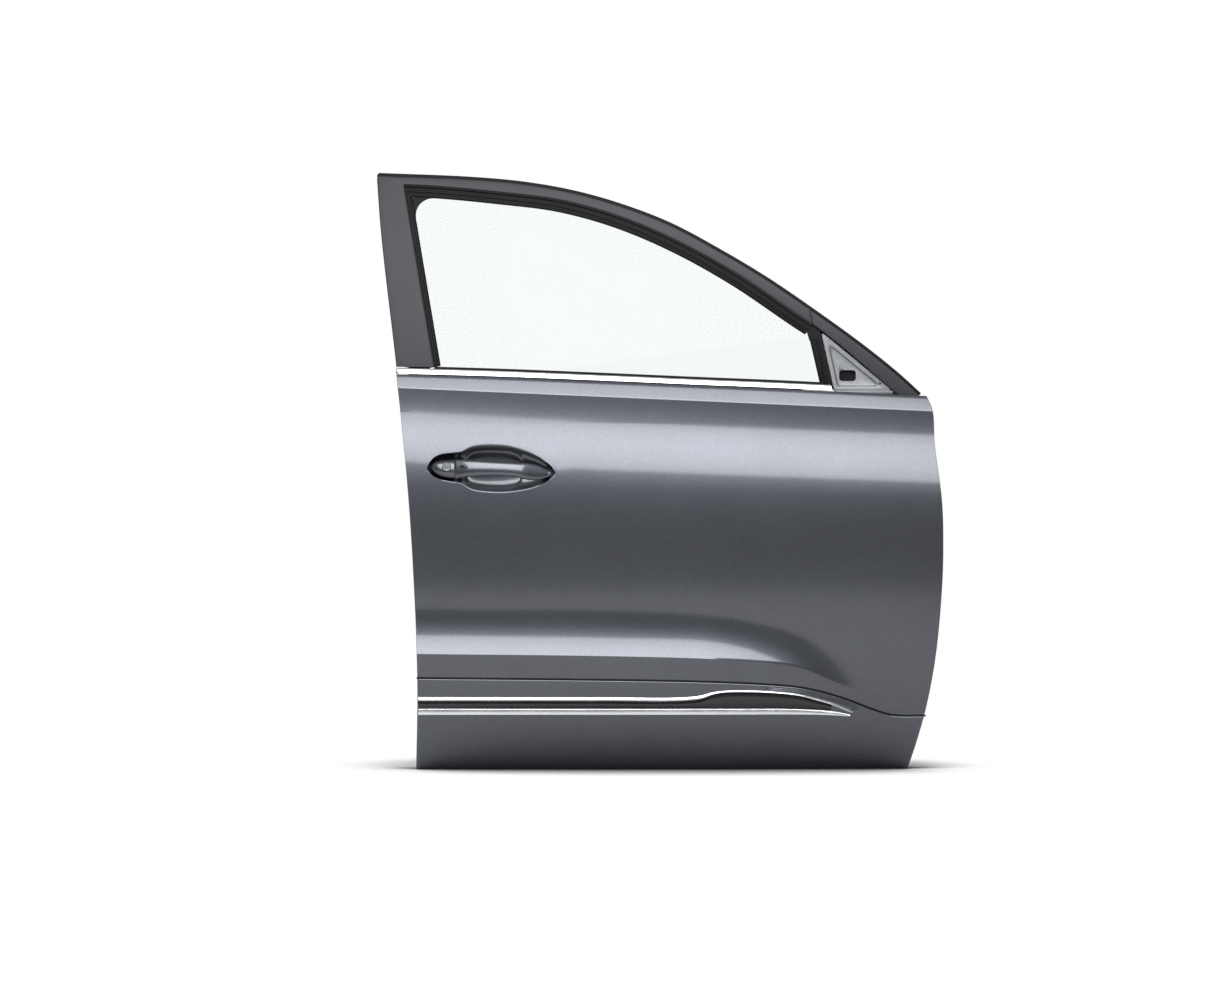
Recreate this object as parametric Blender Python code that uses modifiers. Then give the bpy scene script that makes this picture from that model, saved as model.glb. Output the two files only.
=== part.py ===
"""Right-hand front door of a car: pressed body, window frame, glass and its lift, latch, handle and trim.

Metres, +Z up. The outside face looks to -Y and the front of the car is at +X. The origin lies under the
middle of the door, at the height of its lower edge. The window glass is part of a cylinder and turns
about that cylinder's axis as it goes down.
"""
import math

import bmesh
import bpy
import numpy as np
from mathutils import Matrix, Vector

MM = 0.001

# Sheets, gaps and the depth of the door
SKIN_SHEET = 0.0010
INNER_SHEET = 0.0012
COVER_SHEET = 0.0012
FRAME_SHEET = 0.0014
GAP = 0.0003
CREASE_Y = -0.0735
INNER_FACE_DEPTH = 0.130
FLANGE_DEPTH = 0.012

# Holes of the inner face for the hands: (rear, front, low, high), with their edges turned inward
SERVICE_HOLES = ((-0.405, -0.255, 0.235, 0.600), (-0.105, 0.125, 0.165, 0.345), (0.235, 0.425, 0.420, 0.640))
HOLE_FLANGE = 0.005

# Edges of the door seen from outside: (height, position) and (position, height)
REAR_EDGE = (
    (0.0, -0.482), (0.15, -0.479), (0.36, -0.486), (0.55, -0.498), (0.80, -0.524), (1.08, -0.558),
    (1.19, -0.5675),
)
FRONT_EDGE = (
    (0.0, 0.498), (0.048, 0.514), (0.12, 0.534), (0.216, 0.552), (0.336, 0.564),
    (0.44, 0.568), (0.528, 0.566), (0.648, 0.552), (0.72, 0.547), (0.745, 0.536),
)
ROOF_EDGE = (
    (-0.566, 1.196), (-0.356, 1.186), (-0.26, 1.176), (-0.164, 1.158), (-0.068, 1.130), (0.028, 1.092),
    (0.124, 1.040), (0.220, 0.982), (0.316, 0.916), (0.412, 0.846), (0.484, 0.788), (0.532, 0.744),
)
BELT_LINE = (
    (-0.522, 0.787), (-0.316, 0.781), (-0.116, 0.773), (0.084, 0.7644), (0.244, 0.758), (0.348, 0.753),
    (0.536, 0.744),
)

# Form of the outer skin: (height, degrees that it leans back from upright), with the crease near its top
CREASE_HEIGHT = 0.745
CREASE_HALF = 0.0001
SKIN_LEAN = (
    (0.0, -9.0), (0.10, -7.0), (0.18, -4.5), (0.232, -4.5), (0.33, -3.5), (0.40, -1.5), (0.45, 0.0),
    (0.512, 2.0),
    (0.56, 4.5), (0.592, 8.0), (0.624, 12.5), (0.648, 15.0), (0.672, 12.5), (0.704, 6.0),
    (CREASE_HEIGHT - CREASE_HALF, 2.0), (CREASE_HEIGHT + CREASE_HALF, 31.0), (CREASE_HEIGHT + 0.055, 33.0),
)
CREASE_LINE = ((-0.466, CREASE_HEIGHT + 0.013), (0.524, CREASE_HEIGHT - 0.030))
CREASE_FADE = (0.35, 0.70)
BOW_RADIUS = 10.0
BOW_CENTRE = -0.10
LEDGE_RISE = 0.021
LEDGE_LOWER = (
    (-0.48, 0.230), (-0.116, 0.226), (0.084, 0.221), (0.204, 0.214),
    (0.284, 0.202), (0.364, 0.168), (0.424, 0.148), (0.56, 0.140),
)
LEDGE_UPPER = (
    (-0.48, 0.324), (0.084, 0.312), (0.204, 0.296), (0.284, 0.276),
    (0.364, 0.238), (0.404, 0.208), (0.45, 0.172), (0.56, 0.165),
)
LEDGE_FADE = (0.05, 0.47)
CLADDING_LINE = (
    (-0.48, 0.182), (-0.116, 0.1786), (0.084, 0.175), (0.204, 0.170), (0.284, 0.163),
    (0.334, 0.152), (0.384, 0.136), (0.424, 0.1206), (0.464, 0.108), (0.53, 0.106),
)

# Grid of the skin: parts of its length, and heights between its feature lines
FLANGE_SHARE = 0.018
RECESS_SPAN = (-0.460, -0.206)
RECESS_CENTRE_LINE = (
    (-0.460, 0.598), (-0.424, 0.602), (-0.37, 0.6015), (-0.31, 0.6005), (-0.25, 0.596), (-0.206, 0.592),
)
RECESS_HALF_HEIGHT = (
    (-0.460, 0.0), (-0.450, 0.016), (-0.424, 0.029), (-0.365, 0.044),
    (-0.31, 0.048), (-0.26, 0.038), (-0.222, 0.018), (-0.206, 0.0),
)
RECESS_DEPTH = 0.019
RECESS_TOP = 0.690
RECESS_BOTTOM = 0.552
ROW_SPACE = 0.0003

# Window glass and its cylinder
GLASS_RADIUS = 1.45
GLASS_THICK = 0.004
GLASS_INSET = 0.050
BELT_TILT = math.radians(4.0)
BELT_MIDDLE = 0.770
RUN_LEAN = math.radians(9.55)
TAPER = math.radians(1.0)
GLASS_BOTTOM = 0.705
GLASS_EDGE_COVER = 0.0125

# Window frame, measured inward from its outer edge
SEAL_WIDTH = 0.006
HEADER_INNER = (
    (-0.5125, 1.1725), (-0.436, 1.168), (-0.316, 1.156), (-0.196, 1.140), (-0.076, 1.106), (0.044, 1.054),
    (0.164, 0.986), (0.284, 0.904), (0.3212, 0.8794), (0.48, 0.747),
)
PILLAR_INNER = ((-0.4484, 0.802), (-0.5125, 1.1725))
PILLAR_RUN_SHIFT = 0.0115
COVER_DEPTH = 0.011
COVER_RETURN = 0.007
PILLAR_EDGE = 0.001
FRAME_INSET = 0.006
COVER_SEAM = 0.3115
OPENING_FRONT = ((0.3014, 0.866), (0.3232, 0.7706))


def table_at(table, t):
    """Value at t of the smooth curve through a table of pairs."""
    knots, values = np.array(table, dtype=float).T
    steps = np.diff(values) / np.diff(knots)
    tangents = np.concatenate([[steps[0]], (steps[:-1] + steps[1:]) / 2, [steps[-1]]])
    turning = np.concatenate([[False], steps[:-1] * steps[1:] <= 0, [False]])
    tangents[turning] = 0.0
    inside = min(max(t, knots[0]), knots[-1])
    k = min(max(int(np.searchsorted(knots, inside)) - 1, 0), len(knots) - 2)
    width = knots[k + 1] - knots[k]
    f = (inside - knots[k]) / width
    value = (
        (2 * f**3 - 3 * f**2 + 1) * values[k]
        + (f**3 - 2 * f**2 + f) * width * tangents[k]
        + (3 * f**2 - 2 * f**3) * values[k + 1]
        + (f**3 - f**2) * width * tangents[k + 1]
    )
    end_slope = tangents[0] if t < knots[0] else tangents[-1]
    return float(value + end_slope * (t - inside))


def line_at(line, t):
    """Value at t of the straight line through two pairs."""
    (t0, v0), (t1, v1) = line
    return v0 + (v1 - v0) * (t - t0) / (t1 - t0)


def fade(t, start, end):
    """0 before start, 1 after end, smooth between them."""
    f = min(max((t - start) / (end - start), 0.0), 1.0)
    return f * f * (3 - 2 * f)


def outward_table():
    """Heights and outward distances of the skin's middle section, summed from its lean."""
    heights, leans = np.array(SKIN_LEAN).T
    fine = np.arange(heights[0], heights[-1], MM)
    slopes = np.tan(np.radians(np.interp(fine, heights, leans)))
    outward = np.concatenate([[0.0], -np.cumsum((slopes[1:] + slopes[:-1]) / 2 * np.diff(fine))])
    return fine, outward - np.interp(CREASE_HEIGHT, fine, outward)


SECTION_HEIGHTS, SECTION_OUTWARD = outward_table()


def recess_share(x, z):
    """0 on the rim of the handle's recess and outside it, up to 1 at its middle."""
    if not RECESS_SPAN[0] < x < RECESS_SPAN[1]:
        return 0.0
    half = table_at(RECESS_HALF_HEIGHT, x)
    across = abs(z - table_at(RECESS_CENTRE_LINE, x)) / max(half, MM)
    if across >= 1:
        return 0.0
    largest = max(value for _, value in RECESS_HALF_HEIGHT)
    return (1 - across**3) * min(1.0, half / largest + 0.15)


def skin_y(x, z, recessed=False):
    """Y of the skin's outside face."""
    crease_shift = CREASE_HEIGHT - line_at(CREASE_LINE, x)
    level = z + crease_shift * fade(z, *CREASE_FADE)
    outward = float(np.interp(level, SECTION_HEIGHTS, SECTION_OUTWARD))
    outward -= (x - BOW_CENTRE) ** 2 / (2 * BOW_RADIUS)
    lower = table_at(LEDGE_LOWER, x)
    upper = table_at(LEDGE_UPPER, x)
    climb = min(max((upper - z) / (upper - lower), 0.0), 1.0)
    outward += LEDGE_RISE * (1 - fade(x, *LEDGE_FADE)) * climb**2
    if recessed:
        outward -= RECESS_DEPTH * recess_share(x, z)
    return CREASE_Y - outward


# The cylinder of the glass: its direction, the way up along the glass, and a point on its axis
AXIS = Vector((math.cos(RUN_LEAN) * math.cos(TAPER), math.sin(TAPER), math.sin(RUN_LEAN) * math.cos(TAPER)))
AXIS_Z = BELT_MIDDLE - GLASS_RADIUS * math.sin(BELT_TILT) / math.cos(RUN_LEAN)


def glass_offset(x, z):
    """Y of the glass's outside face, measured from a point on its axis at x = 0."""
    run = (z - AXIS_Z) * math.cos(RUN_LEAN) - x * math.sin(RUN_LEAN)
    along = x * math.cos(RUN_LEAN) + (z - AXIS_Z) * math.sin(RUN_LEAN)
    reach = math.sqrt(GLASS_RADIUS**2 - run**2)
    return (along * math.sin(TAPER) - reach) / math.cos(TAPER)


AXIS_POINT = Vector((0.0, CREASE_Y + GLASS_INSET - glass_offset(0.0, BELT_MIDDLE), AXIS_Z))


def glass_y(x, z):
    return AXIS_POINT.y + glass_offset(x, z)


def glass_line(along, z):
    """Position x, at height z, of the line that a point of the glass follows as it moves."""
    x = 0.0
    for _ in range(12):
        point = Vector((x, glass_y(x, z), z)) - AXIS_POINT
        x += (along - point.dot(AXIS)) / AXIS.x
    return x


def along_of(x, z):
    return (Vector((x, glass_y(x, z), z)) - AXIS_POINT).dot(AXIS)


GLASS_REAR = along_of(PILLAR_INNER[0][0] + GLASS_EDGE_COVER - PILLAR_RUN_SHIFT, PILLAR_INNER[0][1])
GLASS_FRONT = along_of(OPENING_FRONT[1][0] + 0.007, OPENING_FRONT[1][1])


# Scene, materials and general shapes

for old in list(bpy.data.objects):
    bpy.data.objects.remove(old)
scene = bpy.context.scene
parts = bpy.data.collections.new("car_door_shell")
cutters = bpy.data.collections.new("cutters")
scene.collection.children.link(parts)
scene.collection.children.link(cutters)


def material(name, colour, roughness, metallic=0.0, transmission=0.0):
    made = bpy.data.materials.new(name)
    made.use_nodes = True
    shader = made.node_tree.nodes["Principled BSDF"]
    shader.inputs["Base Color"].default_value = (*colour, 1.0)
    shader.inputs["Roughness"].default_value = roughness
    shader.inputs["Metallic"].default_value = metallic
    shader.inputs["Transmission Weight"].default_value = transmission
    made.diffuse_color = (*colour, 1.0)
    return made


PAINT = material("gunmetal_paint", (0.08, 0.085, 0.10), 0.3, 0.7)
INNER_PAINT = material("inner_body_paint", (0.07, 0.075, 0.085), 0.45, 0.3)
COVER_PAINT = material("satin_cover_paint", (0.10, 0.10, 0.11), 0.45, 0.2)
CHROME = material("bright_chrome", (0.80, 0.80, 0.82), 0.1, 1.0)
SATIN_CHROME = material("satin_chrome", (0.45, 0.46, 0.48), 0.3, 1.0)
GLOSS_BLACK = material("gloss_black_plastic", (0.01, 0.01, 0.012), 0.1)
RUBBER = material("black_rubber", (0.015, 0.015, 0.015), 0.7)
BLACK_PLASTIC = material("black_plastic", (0.03, 0.03, 0.03), 0.5)
BARE_STEEL = material("primed_steel", (0.40, 0.41, 0.43), 0.45, 0.5)
ZINC = material("zinc_plated_steel", (0.55, 0.55, 0.53), 0.35, 1.0)
GLASS = material("clear_glass", (0.93, 0.96, 0.96), 0.02, 0.0, 1.0)


def link(obj, skin, group=None):
    (group or parts).objects.link(obj)
    if skin:
        obj.data.materials.append(skin)
    return obj


def mesh_from(name, points, faces, skin, group=None):
    mesh = bpy.data.meshes.new(name)
    mesh.from_pydata([tuple(point) for point in points], [], faces)
    return link(bpy.data.objects.new(name, mesh), skin, group)


def turn_outward(obj):
    """Makes every face of a closed mesh point out."""
    bm = bmesh.new()
    bm.from_mesh(obj.data)
    bmesh.ops.recalc_face_normals(bm, faces=bm.faces)
    bm.to_mesh(obj.data)
    bm.free()
    return obj


def sheet(name, rows, thickness, skin, inward=True, cap=None):
    """A sheet of metal, rubber or glass over a grid of points, thickened to one side."""
    count = len(rows[0])
    points = [point for row in rows for point in row]
    faces = []
    for r in range(len(rows) - 1):
        for c in range(count - 1):
            a = r * count + c
            faces.append((a, a + count, a + count + 1, a + 1))
    if cap:
        faces.append(cap)
    obj = mesh_from(name, points, faces, skin)
    solid = obj.modifiers.new("thickness", "SOLIDIFY")
    solid.thickness = thickness
    solid.offset = -1.0 if inward else 1.0
    solid.use_even_offset = True
    return obj


def loft(name, rings, skin, group=None):
    """A solid through rings of points, closed by a flat face at each end."""
    count = len(rings[0])
    points = [point for ring in rings for point in ring]
    faces = [tuple(range(count)), tuple(range(len(points) - 1, len(points) - count - 1, -1))]
    for r in range(len(rings) - 1):
        for c in range(count):
            a = r * count + c
            b = r * count + (c + 1) % count
            faces.append((b, a, a + count, b + count))
    return turn_outward(mesh_from(name, points, faces, skin, group))


def box(name, low, high, skin, group=None, bevel=0.0):
    size = Vector(high) - Vector(low)
    bpy.ops.mesh.primitive_cube_add(size=1.0)
    made = bpy.context.object
    made.name = name
    made.data.name = name
    for owner in list(made.users_collection):
        owner.objects.unlink(made)
    made.data.transform(Matrix.Diagonal((*size, 1.0)))
    made.location = (Vector(high) + Vector(low)) / 2
    if bevel:
        rounding = made.modifiers.new("rounded_edges", "BEVEL")
        rounding.width = bevel
        rounding.segments = 2
    return link(made, skin, group)


def rod(name, start, end, radius, skin, group=None, sides=24):
    """A cylinder between two points."""
    start = Vector(start)
    span = Vector(end) - start
    bm = bmesh.new()
    bmesh.ops.create_cone(
        bm, cap_ends=True, segments=sides, radius1=radius, radius2=radius, depth=span.length)
    mesh = bpy.data.meshes.new(name)
    bm.to_mesh(mesh)
    bm.free()
    made = bpy.data.objects.new(name, mesh)
    turn = span.to_track_quat("Z", "Y").to_matrix().to_4x4()
    made.matrix_world = Matrix.Translation(start + span / 2) @ turn
    mesh.shade_smooth()
    mesh.set_sharp_from_angle(angle=math.radians(40))
    return link(made, skin, group)


def tube(name, points, radius, skin, resolution=2):
    """A round wire or pipe along points, as a curve with filled ends."""
    curve = bpy.data.curves.new(name, "CURVE")
    curve.dimensions = "3D"
    curve.bevel_depth = radius
    curve.bevel_resolution = resolution
    curve.use_fill_caps = True
    spline = curve.splines.new("POLY")
    spline.points.add(len(points) - 1)
    for slot, point in zip(spline.points, points):
        slot.co = (*point, 1.0)
    return link(bpy.data.objects.new(name, curve), skin)


def flat_plate(name, outline, thickness, place, skin, holes=(), group=None):
    """A flat plate cut to an outline, as a filled 2D curve turned into a mesh."""
    curve = bpy.data.curves.new(name, "CURVE")
    curve.dimensions = "2D"
    curve.fill_mode = "BOTH"
    curve.extrude = thickness / 2
    for loop in (outline, *holes):
        spline = curve.splines.new("POLY")
        spline.points.add(len(loop) - 1)
        for slot, (u, v) in zip(spline.points, loop):
            slot.co = (u, v, 0.0, 1.0)
        spline.use_cyclic_u = True
    shape = bpy.data.objects.new(name + "_outline", curve)
    scene.collection.objects.link(shape)
    shape.matrix_world = place
    graph = bpy.context.evaluated_depsgraph_get()
    mesh = bpy.data.meshes.new_from_object(shape.evaluated_get(graph))
    bm = bmesh.new()
    bm.from_mesh(mesh)
    bmesh.ops.remove_doubles(bm, verts=bm.verts, dist=1e-5)
    bm.to_mesh(mesh)
    bm.free()
    made = bpy.data.objects.new(name, mesh)
    made.matrix_world = place
    bpy.data.objects.remove(shape)
    return link(made, skin, group)


def arc(centre, radius, start, end, steps):
    """Points on a circle from one angle to another, in degrees."""
    angles = np.radians(np.linspace(start, end, steps))
    return [(centre[0] + radius * math.cos(a), centre[1] + radius * math.sin(a)) for a in angles]


def rounded(corners, radius, steps=4):
    """A closed outline with its corners rounded."""
    outline = []
    for k, corner in enumerate(corners):
        corner = Vector(corner)
        before = (Vector(corners[k - 1]) - corner).normalized()
        after = (Vector(corners[(k + 1) % len(corners)]) - corner).normalized()
        half = before.angle(after) / 2
        middle = corner + (before + after).normalized() * (radius / math.sin(half))
        start = corner + before * (radius / math.tan(half)) - middle
        first = math.atan2(start.y, start.x)
        sweep_angle = (math.pi - 2 * half) * (1 if before.cross(after) < 0 else -1)
        for s in range(steps + 1):
            angle = first + sweep_angle * s / steps
            outline.append((middle.x + radius * math.cos(angle), middle.y + radius * math.sin(angle)))
    return outline


def modify(obj, cutter, operation, solver="EXACT"):
    change = obj.modifiers.new(operation.lower(), "BOOLEAN")
    change.operation = operation
    change.object = cutter
    change.solver = solver
    cutter.hide_render = True
    cutter.display_type = "WIRE"
    return obj


def cut(obj, *tools):
    for tool in tools:
        modify(obj, tool, "DIFFERENCE")
    return obj


def join(obj, *others):
    for other in others:
        modify(obj, other, "UNION")
    return obj


def frame_matrix(origin, x_axis, y_axis):
    """Places a flat outline: its first coordinate along x_axis, its second along y_axis."""
    x_axis = Vector(x_axis).normalized()
    z_axis = x_axis.cross(Vector(y_axis)).normalized()
    y_axis = z_axis.cross(x_axis)
    turn = Matrix((x_axis, y_axis, z_axis)).transposed().to_4x4()
    return Matrix.Translation(Vector(origin)) @ turn


def depth_slab(name, outline, front, back, skin, group=None):
    """A thin solid that follows the glass: an outline of (x, z) between two depths."""
    rings = [[Vector((x, glass_y(x, z) + depth, z)) for x, z in outline] for depth in (front, back)]
    return loft(name, rings, skin, group)


# Outer skin

def skin_shares():
    """Positions of the grid's columns as shares of the door's length, closer together at the recess."""
    level = RECESS_CENTRE_LINE[2][1]
    rear = table_at(REAR_EDGE, level)
    length = table_at(FRONT_EDGE, level) - rear
    first = (RECESS_SPAN[0] - rear) / length
    last = (RECESS_SPAN[1] - rear) / length
    return [0.0, FLANGE_SHARE, *np.linspace(first, last, 14), *np.linspace(0.33, 1 - FLANGE_SHARE, 10), 1.0]


def skin_lines(x):
    """Heights of the grid's rows at x, from the belt down."""
    belt = table_at(BELT_LINE, x)
    crease = line_at(CREASE_LINE, x)
    upper = table_at(LEDGE_UPPER, x)
    lower = table_at(LEDGE_LOWER, x)
    cladding = table_at(CLADDING_LINE, x)
    recess = np.linspace(RECESS_TOP, RECESS_BOTTOM, 12)
    between = [recess[-1] + (upper - recess[-1]) * share for share in (0.19, 0.5, 0.8)]
    lines = [belt, crease + ROW_SPACE, crease - ROW_SPACE, *recess, *between, *np.linspace(upper, lower, 5)]
    lines += [lower - 0.004, cladding, *np.linspace(cladding * 0.72, 0.018, 3)]
    lines.sort(reverse=True)
    for k in range(1, len(lines)):
        lines[k] = min(lines[k], lines[k - 1] - ROW_SPACE * 2)
    return [*lines, 0.0]


SKIN_SHARES = skin_shares()
ROW_COUNT = len(skin_lines(0.0))
CLADDING_ROW = ROW_COUNT - 5


def skin_place(share, row):
    """(x, z) of a point of the grid; the rows bend with the feature lines."""
    x = share - 0.5
    for _ in range(4):
        z = skin_lines(x)[row]
        rear = table_at(REAR_EDGE, z)
        x = rear + (table_at(FRONT_EDGE, z) - rear) * share
    return x, z


def make_outer_skin():
    rows = []
    for row in range(ROW_COUNT):
        places = [skin_place(share, row) for share in SKIN_SHARES]
        rows.append([(x, skin_y(x, z, recessed=True), z) for x, z in places])
    return sheet("outer_skin", rows, SKIN_SHEET, PAINT)


outer_skin = make_outer_skin()


# Inner panel: flange on the skin, walls round the edge of the door, flat inner face

REAR_WALL = -0.462
REAR_WALL_TOP = ((0.62, -0.462), (0.79, -0.500))
FRONT_WALL = 0.505
BOTTOM_WALL = 0.032
WALL_CORNER = 0.045
EDGE_ROUND = 0.008
INNER_FACE_Y = CREASE_Y + INNER_FACE_DEPTH


def wall_place(x, z):
    """Where the wall of the pan stands beside a point of the flange."""
    rear = REAR_WALL if z < REAR_WALL_TOP[0][0] else line_at(REAR_WALL_TOP, z)
    x = min(max(x, rear), FRONT_WALL)
    z = max(z, BOTTOM_WALL)
    for side, corner_x in ((-1, rear + WALL_CORNER), (1, FRONT_WALL - WALL_CORNER)):
        corner = Vector((corner_x, BOTTOM_WALL + WALL_CORNER))
        away = Vector((x, z)) - corner
        if away.x * side > 0 and away.y < 0:
            away = away.normalized() * WALL_CORNER
            return corner + away
    return Vector((x, z))


def pan_path():
    """(share, row) along the edge of the skin, down the rear, along the bottom and up the front."""
    last = ROW_COUNT - 1
    rows = [row for row in range(last) if row != 1]
    columns = SKIN_SHARES[1:-1]
    down = [(0.0, FLANGE_SHARE, row, row) for row in rows[:-1]]
    along = [(share, share, last, last - 1) for share in columns]
    up = [(1.0, 1 - FLANGE_SHARE, row, row) for row in reversed(rows[:-1])]
    corner = [(0.0, FLANGE_SHARE, last, last - 1)]
    far_corner = [(1.0, 1 - FLANGE_SHARE, last, last - 1)]
    return down + corner + along[1:-1] + far_corner + up


def make_inner_panel():
    rings = [[], [], [], [], []]
    for outer_share, inner_share, outer_row, inner_row in pan_path():
        x, z = skin_place(outer_share, outer_row)
        rings[0].append(Vector((x, skin_y(x, z) + SKIN_SHEET + GAP, z)))
        x, z = skin_place(inner_share, inner_row)
        lip = Vector((x, skin_y(x, z) + SKIN_SHEET + GAP, z))
        rings[1].append(lip)
        wall = wall_place(x, z)
        foot = Vector((wall.x, lip.y + FLANGE_DEPTH, wall.y))
        rings[2].append(foot)
        rings[3].append(Vector((wall.x, INNER_FACE_Y - EDGE_ROUND, wall.y)))
        centre = Vector((0.02, 0.40))
        toward = (centre - wall).normalized() * EDGE_ROUND
        rings[4].append(
            Vector((wall.x + toward.x, INNER_FACE_Y, wall.y + min(toward.y, EDGE_ROUND) * (wall.y < 0.6))))
    count = len(rings[0])
    face = tuple(4 * count + k for k in reversed(range(count)))
    return sheet("inner_panel", rings, INNER_SHEET, INNER_PAINT, inward=False, cap=face)


inner_panel = make_inner_panel()


# Window frame: stations along its outer edge, with the matching inner line of the covers

PILLAR_STATIONS = 12
HEADER_XS = (
    -0.540, -0.50, -0.45, -0.40, -0.34, -0.28, -0.22, -0.16, -0.10, -0.04, 0.02, 0.08, 0.14, 0.20, 0.25,
    COVER_SEAM
)
FRONT_XS = (0.36, 0.42, 0.47, 0.508)
CORNER_PULL = 0.12


def slope_at(table, t):
    return (table_at(table, t + MM) - table_at(table, t - MM)) / (2 * MM)


class Station:
    """One cross-section of the frame: outer point, inner point of the cover, and the ways inward."""

    def __init__(self, outer, inner, pillar_way, header_way):
        self.outer = Vector(outer)
        self.inner = Vector(inner)
        self.pillar_way = Vector(pillar_way)
        self.header_way = Vector(header_way)

    def inside(self, extra, depth, shift=0.0):
        """Point a distance past the cover's inner line, at a depth behind the glass face."""
        spot = self.inner + self.pillar_way * (extra + shift) + self.header_way * extra
        return Vector((spot.x, glass_y(spot.x, spot.y) + depth, spot.y))

    def inset(self, pillar_distance, header_distance, depth):
        """Point a distance in from the outer edge, at a depth behind the glass face."""
        spot = self.outer + self.pillar_way * pillar_distance + self.header_way * header_distance
        return Vector((spot.x, glass_y(spot.x, spot.y) + depth, spot.y))


def pillar_way():
    (x0, z0), (x1, z1) = PILLAR_INNER
    along = Vector((x1 - x0, z1 - z0)).normalized()
    return Vector((along.y, -along.x))


def header_way(x):
    slope = slope_at(HEADER_INNER, x)
    return Vector((slope, -1.0)).normalized()


def make_stations(bottom=PILLAR_INNER[0][1]):
    """Stations from the foot of the pillar, round the rear corner and down to the front of the frame."""
    side = pillar_way()
    corner_inner = Vector(HEADER_INNER[0])
    corner_outer = Vector((ROOF_EDGE[0][0], ROOF_EDGE[0][1]))
    found = []
    for k in range(PILLAR_STATIONS):
        share = k / PILLAR_STATIONS
        z = bottom + (REAR_EDGE[-1][0] - bottom) * share
        inner_z = bottom + (corner_inner.y - bottom) * share
        inner_x = line_at([pair[::-1] for pair in PILLAR_INNER], inner_z)
        found.append(Station((table_at(REAR_EDGE, z), z), (inner_x, inner_z), side, (0, 0)))
    first = header_way(corner_inner.x)
    turn = side.x * first.y - side.y * first.x
    pillar_part = Vector((first.y, -first.x)) / turn
    header_part = Vector((-side.y, side.x)) / turn
    found.append(Station(corner_outer, corner_inner, pillar_part, header_part))
    for x in (*HEADER_XS, *FRONT_XS):
        found.append(header_station(x))
    return found


def header_station(x):
    corner_inner = Vector(HEADER_INNER[0])
    width = table_at(ROOF_EDGE, x) - table_at(HEADER_INNER, x)
    slope = slope_at(ROOF_EDGE, x)
    pull = (corner_inner.x - ROOF_EDGE[0][0]) * max(0.0, 1 - (x - ROOF_EDGE[0][0]) / CORNER_PULL)
    inner_x = x + pull + width * slope / (1 + slope**2)
    return Station(
        (x, table_at(ROOF_EDGE, x)), (inner_x, table_at(HEADER_INNER, inner_x)), (0, 0), header_way(inner_x))


STATIONS = make_stations()
HEADER_END = PILLAR_STATIONS + 1 + len(HEADER_XS)
REAR_STATIONS = STATIONS[:HEADER_END]
FRONT_STATIONS = STATIONS[HEADER_END - 1:]


def make_cover(name, stations, skin, seam_gap=0.0):
    """Cover with its outer edge turned back behind the seal."""
    rows = [[], [], []]
    for station in stations:
        rows[0].append(station.inset(PILLAR_EDGE, SEAL_WIDTH, COVER_RETURN - COVER_DEPTH))
        rows[1].append(station.inset(PILLAR_EDGE, SEAL_WIDTH, -COVER_DEPTH))
        rows[2].append(station.inside(0.0, -COVER_DEPTH))
    if seam_gap:
        along = (rows[1][1] - rows[1][0]).normalized() * seam_gap
        for row in rows:
            row[0] = row[0] + along
    return sheet(name, rows, COVER_SHEET, skin, inward=True)


def sweep(name, stations, section, skin, shift=None):
    """A solid of one cross-section, given as (across, depth) pairs in mm, carried along the stations.

    Without a shift it is measured from the outer edge, and with one from the covers' inner line.
    """
    rings = []
    for station in stations:
        if shift is None:
            rings.append([station.inset(across * MM, across * MM, depth * MM) for across, depth in section])
        else:
            rings.append([station.inside(across * MM, depth * MM, shift) for across, depth in section])
    return loft(name, rings, skin)


RUN_SECTION = (
    (-2.4, -9.4), (4.5, -9.4), (5.0, -5.0), (10.5, -5.0), (11.0, -7.6), (15.0, -7.0), (18.0, -3.4),
    (25.5, -2.2),
    (25.5, -0.8), (10.0, -0.8), (10.0, 4.8), (20.0, 4.8), (20.0, 7.2), (4.0, 9.0), (-2.4, 9.0),
)
SASH_SECTION = ((-5.4, -6.4), (-5.4, 9.6), (22.0, 9.6), (22.0, 24.0), (-14.0, 24.0))
FRAME_LIP_DEPTH = -0.002
EDGE_SEAL_SECTION = ((0.0, -8.5), (2.0, -10.5), (5.6, -10.5), (5.6, 1.5), (2.0, 1.5), (0.0, -0.5))

sash_cover = make_cover("sash_cover", REAR_STATIONS, COVER_PAINT)
sash_front_cover = make_cover("sash_front_cover", FRONT_STATIONS, COVER_PAINT, seam_gap=0.0015)


glass_run = sweep("glass_run", REAR_STATIONS, RUN_SECTION, RUBBER, shift=-PILLAR_RUN_SHIFT)
frame_edge_seal = sweep("frame_edge_seal", STATIONS[PILLAR_STATIONS:], EDGE_SEAL_SECTION, RUBBER)


def make_window_frame():
    """Rolled steel channel behind the covers, which holds the glass run."""
    rows = []
    for across, depth in SASH_SECTION:
        rows.append([])
        for k, station in enumerate(STATIONS):
            reach = min(across, SASH_SECTION[0][0] + 1.0) if k >= HEADER_END else across
            rows[-1].append(station.inside(reach * MM, depth * MM, -PILLAR_RUN_SHIFT))
    insets = (PILLAR_EDGE + FRAME_INSET, SEAL_WIDTH + FRAME_INSET, FRAME_LIP_DEPTH)
    rows.append([station.inset(*insets) for station in STATIONS])
    return sheet("window_frame", rows, FRAME_SHEET, INNER_PAINT, inward=True)


window_frame = make_window_frame()

FOOT_DEPTH = (SASH_SECTION[-1][1] * MM - 0.0018, SASH_SECTION[-1][1] * MM + 0.0016)
FOOT_BOTTOM = 0.700
REAR_FOOT_FRONT = -0.4700
FRONT_FOOT_REAR = 0.4700


def rear_wall_x(z):
    return max(line_at(REAR_WALL_TOP, z), REAR_WALL_TOP[-1][1])


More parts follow.
